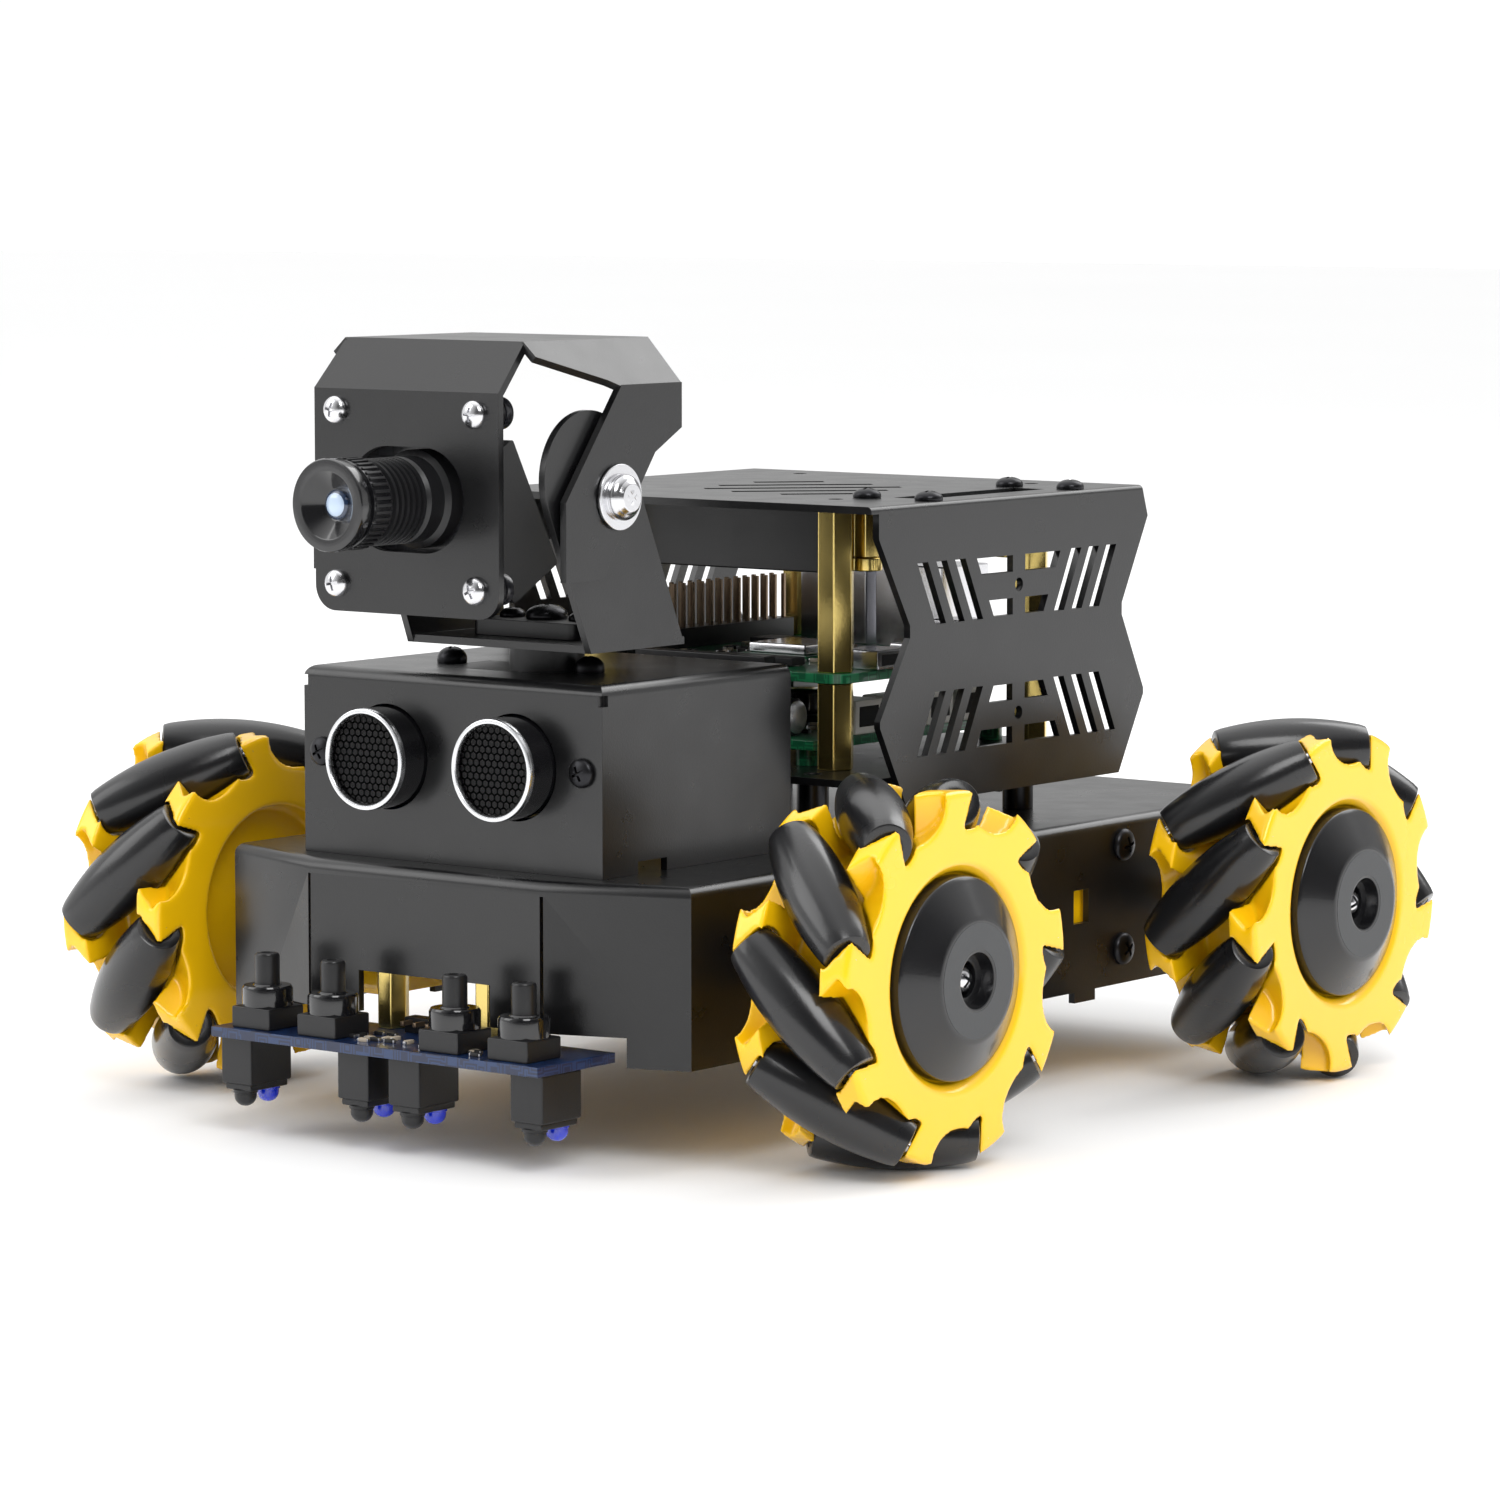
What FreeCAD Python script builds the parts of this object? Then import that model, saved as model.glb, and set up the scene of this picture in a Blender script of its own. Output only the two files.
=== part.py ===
"""Mecanum wheel robot: a sheet-metal rover with four mecanum wheels, a pan-and-tilt camera, an
ultrasonic distance sensor and a line sensor.

Millimetres. Z is up, the robot faces -Y, and +X is its left side. Heights are above the ground.
The plan is drawn about the point midway between the axles, and SHIFT_Y then moves every part, so
that the origin lies on the ground under the middle of the bounding box.
"""
import FreeCAD, Part
import os
from math import acos, atan2, cos, hypot, pi, radians, sin, sqrt

V = FreeCAD.Vector

# Overall plan
LENS_TIP_Y = -107.0
TRAY_REAR_Y = 88.5
SHIFT_Y = -(LENS_TIP_Y + TRAY_REAR_Y) / 2
SHEET = 1.2

# Lower tray
DECK_Z = 43.4
TRAY_HALF_X = 46.7
TRAY_NOSE_Y = -85.5
TRAY_NOSE_HALF_X = 23.7
TRAY_CHAMFER_Y = -77.8
SKIRT_Z = 15.4
NOSE_SKIRT_Z = 20.0
SKIRT_STEP_X = 36.8
SHEET_BEND_R = 1.8

# Wheels
WHEEL_R = 30.0
AXLE_Z = WHEEL_R
AXLE_Y = 55.25
WHEEL_X = 69.15
WHEEL_HALF_W = 10.95
RIM_R = 28.4
SPOOL_R = 18.4
ROLLERS = 9
ROLLER_CENTRE_R = 24.7
ROLLER_HALF_L = 12.8
ROLLER_GAP = 0.45
VALLEY_R = 6.0
VALLEY_CENTRE_R = 27.26
VALLEY_TURN = 14.0
PIN_R = 1.0
PIN_HALF_L = 14.9
ROLLER_BORE_R = 1.05
SHAFT_R = 2.65
HUB_R = 15.6
HUB_FACE = 14.55
# name, side (+1 is the robot's left), end (-1 is the front) and the angle of its first roller
WHEELS = [
    ("front_left", 1, -1, 26.0),
    ("front_right", -1, -1, 3.5),
    ("rear_left", 1, 1, 11.5),
    ("rear_right", -1, 1, 26.0),
]

# Gear motors, nose to tail along each side
MOTOR_IN_X = 26.7
MOTOR_OUT_X = TRAY_HALF_X - SHEET
MOTOR_CAN_R = 9.2
MOTOR_SCREW_Y = 38.2
MOTOR_SCREW_Z = 8.75
MOTOR_SCREW_R = 1.5

# Sensor box
BOX_HALF_X = 30.4
BOX_FRONT_Y = -78.9
BOX_REAR_Y = -31.7
BOX_TOP_Z = 73.0
SONAR_Z = 59.5
SONAR_HALF_PITCH = 13.0
SONAR_R = 8.0
SONAR_FACE_Y = -84.7
SONAR_SCREW_X = 26.5

# Pan and tilt head
PAN_X = 5.35
PAN_Y = -61.8
TILT_Y = -69.2
TILT_Z = 101.1
SERVO_L = 22.8
SERVO_W = 12.2
SERVO_SHAFT_INSET = 5.9
SERVO_FLANGE_L = 32.2
SERVO_FLANGE_T = 2.5
SERVO_CASE_ABOVE = 4.3
SERVO_CASE_BELOW = 15.9
SERVO_BOSS_R = 5.9
SERVO_SPLINE_R = 2.4
PAN_BOSS_R = 5.9
PAN_PLATE_Z = 77.2
EAR_LEFT_X = -13.3
EAR_RIGHT_X = 23.9
EAR_FRONT_Y = -73.5
EAR_REAR_Y = -50.6
EAR_TOP = (-74.0, 104.0)
EAR_TOP_R = 10.5
SERVO_EAR_R = 12.6
SERVO_LEAN = 28.6
SERVO_SCREW = 14.1
PAN_SERVO_X = PAN_X - (SERVO_L / 2 - SERVO_SHAFT_INSET)
PIVOT_R = 1.55
HORN_SCREWS = [(-7.0, 0.0), (7.0, 0.0), (-4.4, 4.2)]
CAM_ARM_X = 25.7
CAM_PLATE_Y = -89.0
CAM_PLATE_HALF_X = 18.6
CAM_TOP_Z = 125.0
CAM_ROOF_HALF_X = 18.0
LENS_Z = 100.7
LENS_HOLE_R = 8.1
LENS_HOLE_SHIFT = 3.7
BARREL_R = 6.7
RING_R = 7.1
RING_BACK_Y = -99.6
SPIGOT_R = 5.2
SPIGOT_TIP_Y = -103.9
CAM_SCREW_X = 14.0
CAM_SCREW_Z = 13.4

# Top cover and electronics
COVER_HALF_X = 41.7
COVER_FRONT_Y = -25.6
COVER_REAR_Y = 51.1
COVER_Z = 98.0
COVER_WALL_Z = 50.0
POST_X = 24.5
POST_FRONT_Y = -12.0
POST_REAR_Y = 43.0
STUB_X = (26.3, 38.6)
STUB_Y = (-6.0, 34.0)
POST_AF = 5.5
LEG_X = 25.5
LEG_FRONT_Y = -19.4
LEG_REAR_Y = 38.0
PLATE_Z = 54.2
BOARD_Z = 70.0
BOARD_T = 1.6
DRIVER_Z = 58.6

# Line sensor
LINE_Z = 17.3
LINE_HALF_X = 33.3
LINE_FRONT_Y = -98.0
LINE_REAR_Y = -79.5
LINE_TOP_X = (-26.2, -12.45, 12.45, 26.2)
LINE_TOP_Y = -92.6
LINE_EYE_X = (-29.6, -5.2, 5.2, 29.6)
LINE_EYE_Y = -91.6


def box(x0, x1, y0, y1, z0, z1):
    return Part.makeBox(x1 - x0, y1 - y0, z1 - z0, V(x0, y0, z0))


def rod(radius, start, end):
    """A cylinder between two points."""
    start, end = V(*start), V(*end)
    return Part.makeCylinder(radius, (end - start).Length, start, end - start)


def tube(radius, bore, start, end):
    return rod(radius, start, end).cut(rod(bore, start, end))


def cone(radius_start, radius_end, start, end):
    start, end = V(*start), V(*end)
    return Part.makeCone(radius_start, radius_end, (end - start).Length, start, end - start)


def plate(points, axis, low, high):
    """A flat outline, as (x, y), (x, z) or (y, z) pairs, drawn out along the remaining axis."""
    to_point = {
        "x": lambda p: V(low, p[0], p[1]),
        "y": lambda p: V(p[0], low, p[1]),
        "z": lambda p: V(p[0], p[1], low),
    }[axis]
    corners = [to_point(p) for p in points]
    face = Part.Face(Part.makePolygon(corners + corners[:1]))
    step = {"x": V(1, 0, 0), "y": V(0, 1, 0), "z": V(0, 0, 1)}[axis]
    return face.extrude(step * (high - low))


def hex_post(x, y, z0, z1, across=POST_AF):
    corners = [(x + across / sqrt(3) * cos(pi * k / 3), y + across / sqrt(3) * sin(pi * k / 3)) for k in range(6)]
    return plate(corners, "z", z0, z1)


def pan_head(radius, height, base, out):
    """A screw head: a short cylinder under a flatter dome-like cone, standing on a surface."""
    base, out = V(*base), V(*out)
    rim = 0.45 * height
    drum = Part.makeCylinder(radius, rim, base, out)
    crown = Part.makeCone(radius, 0.62 * radius, height - rim, base + out * rim, out)
    return drum.fuse(crown)


def fuse(shapes):
    first, *rest = shapes
    return first.fuse(rest).removeSplitter() if rest else first


def round_edges(shape, radius, wanted):
    """Fillets the straight edges for which wanted(start, end) is true."""
    edges = [e for e in shape.Edges if len(e.Vertexes) == 2 and wanted(e.Vertexes[0].Point, e.Vertexes[1].Point)]
    return shape.makeFillet(radius, edges) if edges else shape


def at_height(z):
    return lambda a, b: abs(a.z - z) < 0.01 and abs(b.z - z) < 0.01


def save(name, shapes):
    solids = [s for shape in shapes for s in shape.Solids]
    moved = [s.translated(V(0, SHIFT_Y, 0)) for s in solids]
    bad = [k for k, s in enumerate(moved) if not s.isValid()]
    out = moved[0] if len(moved) == 1 else Part.makeCompound(moved)
    out.exportStep("parts/" + name + ".step")
    print(f"{name}: {len(moved)} solids, {bad} not valid")


# ---------------------------------------------------------------- lower tray
def tray_outline(inset):
    """The deck's plan, drawn in by inset; the nose has two chamfered corners."""
    x, nose_x = TRAY_HALF_X - inset, TRAY_NOSE_HALF_X - inset * 0.15
    nose_y, chamfer_y, rear_y = TRAY_NOSE_Y + inset, TRAY_CHAMFER_Y + inset * 0.85, TRAY_REAR_Y - inset
    return [(-nose_x, nose_y), (nose_x, nose_y), (x, chamfer_y), (x, rear_y), (-x, rear_y), (-x, chamfer_y)]


def chassis_tray():
    shell = plate(tray_outline(0), "z", SKIRT_Z, DECK_Z)
    shell = round_edges(shell, SHEET_BEND_R, at_height(DECK_Z))
    shell = shell.cut(plate(tray_outline(SHEET), "z", SKIRT_Z - 1, DECK_Z - SHEET))
    cuts = [box(-SKIRT_STEP_X, SKIRT_STEP_X, TRAY_NOSE_Y - 1, TRAY_NOSE_Y + 12, SKIRT_Z - 1, NOSE_SKIRT_Z)]
    # front window for the line sensor's posts
    cuts.append(box(-13.4, 13.4, TRAY_NOSE_Y - 1, TRAY_NOSE_Y + 3, SKIRT_Z - 1, 26.5))
    for side in (-1, 1):
        # relief slit between the nose flap and the chamfered flap
        slit_x = side * TRAY_NOSE_HALF_X
        cuts.append(box(slit_x - 0.3, slit_x + 0.3, TRAY_NOSE_Y - 1, TRAY_NOSE_Y + 2.5, SKIRT_Z - 1, DECK_Z - 2.4))
        outside, inside = side * (TRAY_HALF_X + 1), side * (TRAY_HALF_X - 3)
        for end in (-1, 1):
            cuts.append(rod(4.2, (inside, end * AXLE_Y, AXLE_Z), (outside, end * AXLE_Y, AXLE_Z)))
            low_y, high_y = sorted((end * 24.0, end * 28.4))
            cuts.append(box(min(inside, outside), max(inside, outside), low_y, high_y, 26.8, 32.4))
            for up in (-1, 1):
                hole = (end * MOTOR_SCREW_Y, AXLE_Z + up * MOTOR_SCREW_Z)
                cuts.append(rod(MOTOR_SCREW_R, (inside, *hole), (outside, *hole)))
        for y in (LEG_FRONT_Y, LEG_REAR_Y):
            cuts.append(rod(1.5, (side * LEG_X, y, DECK_Z - 3), (side * LEG_X, y, DECK_Z + 1)))
    # cable opening under the sensor box, and one behind it
    cuts.append(box(-12, 12, -52, -40, DECK_Z - 3, DECK_Z + 1))
    cuts.append(box(-9, 9, 56, 66, DECK_Z - 3, DECK_Z + 1))
    shell = shell.cut(cuts)
    tabs = [box(min(s * (TRAY_HALF_X - SHEET), s * TRAY_HALF_X), max(s * (TRAY_HALF_X - SHEET), s * TRAY_HALF_X),
                min(e * 24.4, e * 30.4), max(e * 24.4, e * 30.4), SKIRT_Z - 1.8, SKIRT_Z + 1)
            for s in (-1, 1) for e in (-1, 1)]
    return fuse([shell] + tabs)


def gear_motors():
    solids = []
    for side in (-1, 1):
        for end in (-1, 1):
            x0, x1 = sorted((side * MOTOR_IN_X, side * MOTOR_OUT_X))
            near, far = end * (AXLE_Y + 11), end * (AXLE_Y - 26)
            case = box(x0, x1, min(near, far), max(near, far), AXLE_Z - 11.2, AXLE_Z + 11.2)
            case = round_edges(case, 2.0, lambda a, b: abs(a.x - b.x) > 5)
            neck_end = end * (AXLE_Y - 34)
            neck = box(x0 + 0.8, x1 - 0.8, min(far, neck_end), max(far, neck_end), AXLE_Z - 10.2, AXLE_Z + 10.2)
            case = case.fuse(neck)
            case = case.cut([rod(SHAFT_R + 0.08, (side * 34, end * AXLE_Y, AXLE_Z), (side * 46, end * AXLE_Y, AXLE_Z))]
                            + [rod(MOTOR_SCREW_R, (side * 33, end * MOTOR_SCREW_Y, AXLE_Z + up * MOTOR_SCREW_Z),
                                   (side * 46, end * MOTOR_SCREW_Y, AXLE_Z + up * MOTOR_SCREW_Z)) for up in (-1, 1)])
            middle_x = side * (MOTOR_IN_X + MOTOR_OUT_X) / 2
            can_end = end * (AXLE_Y - 51)
            can = rod(MOTOR_CAN_R, (middle_x, neck_end, AXLE_Z), (middle_x, can_end, AXLE_Z))
            solids += [case, can]
    return solids


# ---------------------------------------------------------------- sensor box
def sensor_box():
    shell = box(-BOX_HALF_X, BOX_HALF_X, BOX_FRONT_Y, BOX_REAR_Y, DECK_Z, BOX_TOP_Z)
    shell = round_edges(shell, SHEET_BEND_R, lambda a, b: at_height(BOX_TOP_Z)(a, b) and min(a.y, b.y) < BOX_REAR_Y - 1)
    inner = box(-BOX_HALF_X + SHEET, BOX_HALF_X - SHEET, BOX_FRONT_Y + SHEET, BOX_REAR_Y + 1, DECK_Z - 1,
                BOX_TOP_Z - SHEET)
    cuts = [inner]
    for side in (-1, 1):
        x = side * SONAR_HALF_PITCH
        cuts.append(rod(SONAR_R + 0.3, (x, BOX_FRONT_Y - 1, SONAR_Z), (x, BOX_FRONT_Y + 3, SONAR_Z)))
        x = side * SONAR_SCREW_X
        cuts.append(rod(1.5, (x, BOX_FRONT_Y - 1, SONAR_Z), (x, BOX_FRONT_Y + 3, SONAR_Z)))
        x0, x1 = sorted((side * (BOX_HALF_X - 3), side * (BOX_HALF_X + 1)))
        cuts.append(box(x0, x1, -70.3, -63.2, DECK_Z - 1, DECK_Z + 2.0))
        cuts.append(rod(1.1, (PAN_SERVO_X + side * SERVO_SCREW, PAN_Y, BOX_TOP_Z - 3),
                        (PAN_SERVO_X + side * SERVO_SCREW, PAN_Y, BOX_TOP_Z + 1)))
    cuts.append(box(PAN_SERVO_X - SERVO_L / 2 - 0.2, PAN_SERVO_X + SERVO_L / 2 + 0.2, PAN_Y - SERVO_W / 2 - 0.2,
                    PAN_Y + SERVO_W / 2 + 0.2, BOX_TOP_Z - 3, BOX_TOP_Z + 1))
    shell = shell.cut(cuts)
    # the side panels' front edges stop short of the front panel at the top corners
    reliefs = [box(side * BOX_HALF_X - 0.8, side * BOX_HALF_X + 0.8, BOX_FRONT_Y - 0.5, BOX_FRONT_Y + 1.4,
                   BOX_TOP_Z - 3.2, BOX_TOP_Z - 1.5) for side in (-1, 1)]
    feet = [box(min(s * (BOX_HALF_X - SHEET - 6), s * (BOX_HALF_X - SHEET)),
                max(s * (BOX_HALF_X - SHEET - 6), s * (BOX_HALF_X - SHEET)), -46, -36, DECK_Z, DECK_Z + SHEET)
            for s in (-1, 1)]
    return fuse([shell.cut(reliefs)] + feet)


def ultrasonic_sensor():
    board = box(-29, 29, BOX_FRONT_Y + 6.4, BOX_FRONT_Y + 8.0, SONAR_Z - 10, SONAR_Z + 10)
    solids, holes = [], []
    for side in (-1, 1):
        x = side * SONAR_HALF_PITCH
        can = rod(SONAR_R, (x, BOX_FRONT_Y + 6.4, SONAR_Z), (x, SONAR_FACE_Y, SONAR_Z))
        can = can.cut(rod(SONAR_R - 0.9, (x, SONAR_FACE_Y + 1.2, SONAR_Z), (x, SONAR_FACE_Y - 1, SONAR_Z)))
        mesh = rod(SONAR_R - 0.95, (x, SONAR_FACE_Y + 1.2, SONAR_Z), (x, SONAR_FACE_Y + 0.5, SONAR_Z))
        x = side * SONAR_SCREW_X
        spacer = tube(2.2, 1.15, (x, BOX_FRONT_Y + SHEET, SONAR_Z), (x, BOX_FRONT_Y + 6.4, SONAR_Z))
        holes.append(rod(1.15, (x, BOX_FRONT_Y + 5, SONAR_Z), (x, BOX_FRONT_Y + 10, SONAR_Z)))
        solids += [can, mesh, spacer]
    return [board.cut(holes)] + solids


# ---------------------------------------------------------------- micro servos
def servo(flange_z, spline_top):
    """A micro servo with its shaft up the Z axis at x = y = 0 and its case running towards -X."""
    x0, x1 = SERVO_SHAFT_INSET - SERVO_L, SERVO_SHAFT_INSET
    middle = (x0 + x1) / 2
    case = box(x0, x1, -SERVO_W / 2, SERVO_W / 2, flange_z - SERVO_CASE_BELOW, flange_z + SERVO_FLANGE_T
               + SERVO_CASE_ABOVE)
    case = round_edges(case, 0.6, lambda a, b: abs(a.z - b.z) > 5)
    flange = box(middle - SERVO_FLANGE_L / 2, middle + SERVO_FLANGE_L / 2, -SERVO_W / 2, SERVO_W / 2, flange_z,
                 flange_z + SERVO_FLANGE_T)
    boss_z = flange_z + SERVO_FLANGE_T + SERVO_CASE_ABOVE
    boss = rod(SERVO_BOSS_R, (0, 0, boss_z - 1), (0, 0, boss_z + 0.8))
    spline = rod(SERVO_SPLINE_R, (0, 0, boss_z), (0, 0, spline_top))
    holes = [rod(1.1, (middle + side * SERVO_SCREW, 0, flange_z - 1), (middle + side * SERVO_SCREW, 0, flange_z + 4))
             for side in (-1, 1)]
    return fuse([case, flange, boss, spline]).cut(holes)


def pan_servo():
    """Its case ends level with the box's top, and two spacers hold its flange below the sheet."""
    flange_z = BOX_TOP_Z - SERVO_CASE_ABOVE - SERVO_FLANGE_T
    body = servo(flange_z, PAN_PLATE_Z + 3.4)
    body = body.fuse(rod(PAN_BOSS_R, (0, 0, BOX_TOP_Z), (0, 0, PAN_PLATE_Z - 0.3)))
    body.translate(V(PAN_X, PAN_Y, 0))
    spacers = [tube(2.2, 1.1, (PAN_SERVO_X + side * SERVO_SCREW, PAN_Y, flange_z + SERVO_FLANGE_T),
                    (PAN_SERVO_X + side * SERVO_SCREW, PAN_Y, BOX_TOP_Z - SHEET)) for side in (-1, 1)]
    return [body] + spacers


def tilt_servo():
    """Its shaft lies along -X on the tilt axis, and its case leans back with the ears."""
    body = servo(0, 4.3 + SERVO_FLANGE_T + 5.0)
    body.rotate(V(0, 0, 0), V(0, 1, 0), -90)
    body.rotate(V(0, 0, 0), V(1, 0, 0), SERVO_LEAN)
    body.translate(V(EAR_LEFT_X, TILT_Y, TILT_Z))
    return body


# ---------------------------------------------------------------- pan bracket
def tangent_point(point, centre, radius, turn):
    """Where a line from point touches a circle, on the side given by turn."""
    dy, dz = centre[0] - point[0], centre[1] - point[1]
    angle = atan2(dz, dy) + pi + turn * acos(radius / hypot(dy, dz))
    return (centre[0] + radius * cos(angle), centre[1] + radius * sin(angle))


def ear(x0, x1, centre, radius):
    """An upright whose straight sides run from the base's edges to a round top."""
    front, rear = (EAR_FRONT_Y, PAN_PLATE_Z), (EAR_REAR_Y, PAN_PLATE_Z)
    outline = [front, rear, tangent_point(rear, centre, radius, 1), centre,
               tangent_point(front, centre, radius, -1)]
    return plate(outline, "x", x0, x1).fuse(rod(radius, (x0, *centre), (x1, *centre)))


def servo_window():
    """The opening in the left ear that the tilt servo's case drops through."""
    low, high = SERVO_SHAFT_INSET - SERVO_L - 0.2, SERVO_SHAFT_INSET + 0.2
    slot = box(-0.1, SHEET + 0.1, low, high, -SERVO_W / 2 - 0.2, SERVO_W / 2 + 0.2)
    slot.rotate(V(0, 0, 0), V(1, 0, 0), 90 + SERVO_LEAN)
    slot.translate(V(EAR_LEFT_X, TILT_Y, TILT_Z))
    return slot


def pan_bracket():
    base = box(EAR_LEFT_X, EAR_RIGHT_X, EAR_FRONT_Y, EAR_REAR_Y, PAN_PLATE_Z, PAN_PLATE_Z + SHEET)
    left = ear(EAR_LEFT_X, EAR_LEFT_X + SHEET, (TILT_Y, TILT_Z), SERVO_EAR_R)
    right = ear(EAR_RIGHT_X - SHEET, EAR_RIGHT_X, EAR_TOP, EAR_TOP_R)
    pivot_hole = rod(PIVOT_R, (EAR_RIGHT_X - 3, TILT_Y, TILT_Z), (EAR_RIGHT_X + 1, TILT_Y, TILT_Z))
    hub_hole = rod(4.6, (PAN_X, PAN_Y, PAN_PLATE_Z - 1), (PAN_X, PAN_Y, PAN_PLATE_Z + 3))
    return fuse([base, left, right]).cut([servo_window(), pivot_hole, hub_hole] + horn_holes())


def horn_holes():
    return [rod(0.8, (PAN_X + x, PAN_Y + y, PAN_PLATE_Z - 1), (PAN_X + x, PAN_Y + y, PAN_PLATE_Z + 6))
            for x, y in HORN_SCREWS]


def pan_horn():
    """The servo horn under its screws: an oblong arm with a hub that drops onto the spline."""
    z0, z1 = PAN_PLATE_Z + SHEET, PAN_PLATE_Z + SHEET + 2.6
    arm = box(PAN_X - 10.5, PAN_X + 10.5, PAN_Y - 6.0, PAN_Y + 6.0, z0, z1)
    arm = round_edges(arm, 1.5, lambda a, b: abs(a.z - b.z) > 1)
    hub = rod(4.4, (PAN_X, PAN_Y, PAN_PLATE_Z + 0.1), (PAN_X, PAN_Y, z0 + 1))
    horn = fuse([arm, hub])
    bore = rod(SERVO_SPLINE_R + 0.06, (PAN_X, PAN_Y, PAN_PLATE_Z), (PAN_X, PAN_Y, PAN_PLATE_Z + 3.5))
    horn = horn.cut([bore] + horn_holes())
    heads = [pan_head(2.0, 1.3, (PAN_X + x, PAN_Y + y, z1), (0, 0, 1)) for x, y in HORN_SCREWS]
    shanks = [rod(0.8, (PAN_X + x, PAN_Y + y, PAN_PLATE_Z - 0.2), (PAN_X + x, PAN_Y + y, z1)) for x, y in HORN_SCREWS]
    centre = pan_head(3.2, 2.0, (PAN_X, PAN_Y, z1), (0, 0, 1))
    return [horn, centre] + [head.fuse(shank) for head, shank in zip(heads, shanks)]


def tilt_horn():
    """The round horn outside the left arm, with its hub through the arm onto the tilt spline."""
    x = -CAM_ARM_X
    disc = rod(7.0, (x, TILT_Y, TILT_Z), (x - 1.6, TILT_Y, TILT_Z))
    hub = rod(3.6, (x + 1.4, TILT_Y, TILT_Z), (x, TILT_Y, TILT_Z))
    bore = rod(SERVO_SPLINE_R + 0.06, (x + 3, TILT_Y, TILT_Z), (x - 0.9, TILT_Y, TILT_Z))
    horn = disc.fuse(hub).cut(bore)
    return [horn, pan_head(2.4, 1.5, (x - 1.6, TILT_Y, TILT_Z), (-1, 0, 0))]


def tilt_pivot_screw():
    """The bright screw on the right ear that the right arm turns on, with its nut inside."""
    x = CAM_ARM_X
    washer = rod(5.1, (x + 0.1, TILT_Y, TILT_Z), (x + 0.7, TILT_Y, TILT_Z))
    head = pan_head(3.5, 2.2, (x + 0.7, TILT_Y, TILT_Z), (1, 0, 0)).fuse(washer)
    shank = rod(PIVOT_R, (EAR_RIGHT_X - SHEET - 3.2, TILT_Y, TILT_Z), (x + 0.1, TILT_Y, TILT_Z))
    nut = rod(3.2, (EAR_RIGHT_X - SHEET - 2.4, TILT_Y, TILT_Z), (EAR_RIGHT_X - SHEET, TILT_Y, TILT_Z))
    return fuse([head, shank, nut])


# ---------------------------------------------------------------- camera head
ARM_OUTLINE = [(-68.2, 118.2), (-53.4, 118.2), (-53.4, 111.2), (-60.0, 107.6), (-64.2, 101.9), (-72.8, 88.6),
               (-81.6, 88.6), (-81.6, 100.8)]
SHOULDER_OUTLINE = [(0.0, -82.4), (0.32, -82.4), (0.86, -70.3), (1.0, -68.2), (1.0, -53.4), (0.0, -52.2)]
SHOULDER_LOW_Z = 118.0


def shoulder(side):
    """The slanted strip from the roof's edge down to an arm; its outline is (way down, y)."""
    drop, reach = CAM_TOP_Z - SHOULDER_LOW_Z, CAM_ARM_X - CAM_ROOF_HALF_X

    def corner(way, y, depth):
        out = V(drop, 0, reach).normalize() * -depth
        return V(side * (CAM_ROOF_HALF_X + way * reach + out.x), y, CAM_TOP_Z - way * drop + out.z)

    rings = [[corner(way, y, depth) for way, y in SHOULDER_OUTLINE] for depth in (0, SHEET)]
    faces = [Part.Face(Part.makePolygon(ring + ring[:1])) for ring in rings]
    count = len(SHOULDER_OUTLINE)
    for k in range(count):
        n = (k + 1) % count
        loop = [rings[0][k], rings[0][n], rings[1][n], rings[1][k]]
        faces.append(Part.Face(Part.makePolygon(loop + loop[:1])))
    solid = Part.Solid(Part.Shell(faces))
    solid.fix(0.01, 0.01, 0.01)
    return solid


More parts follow.
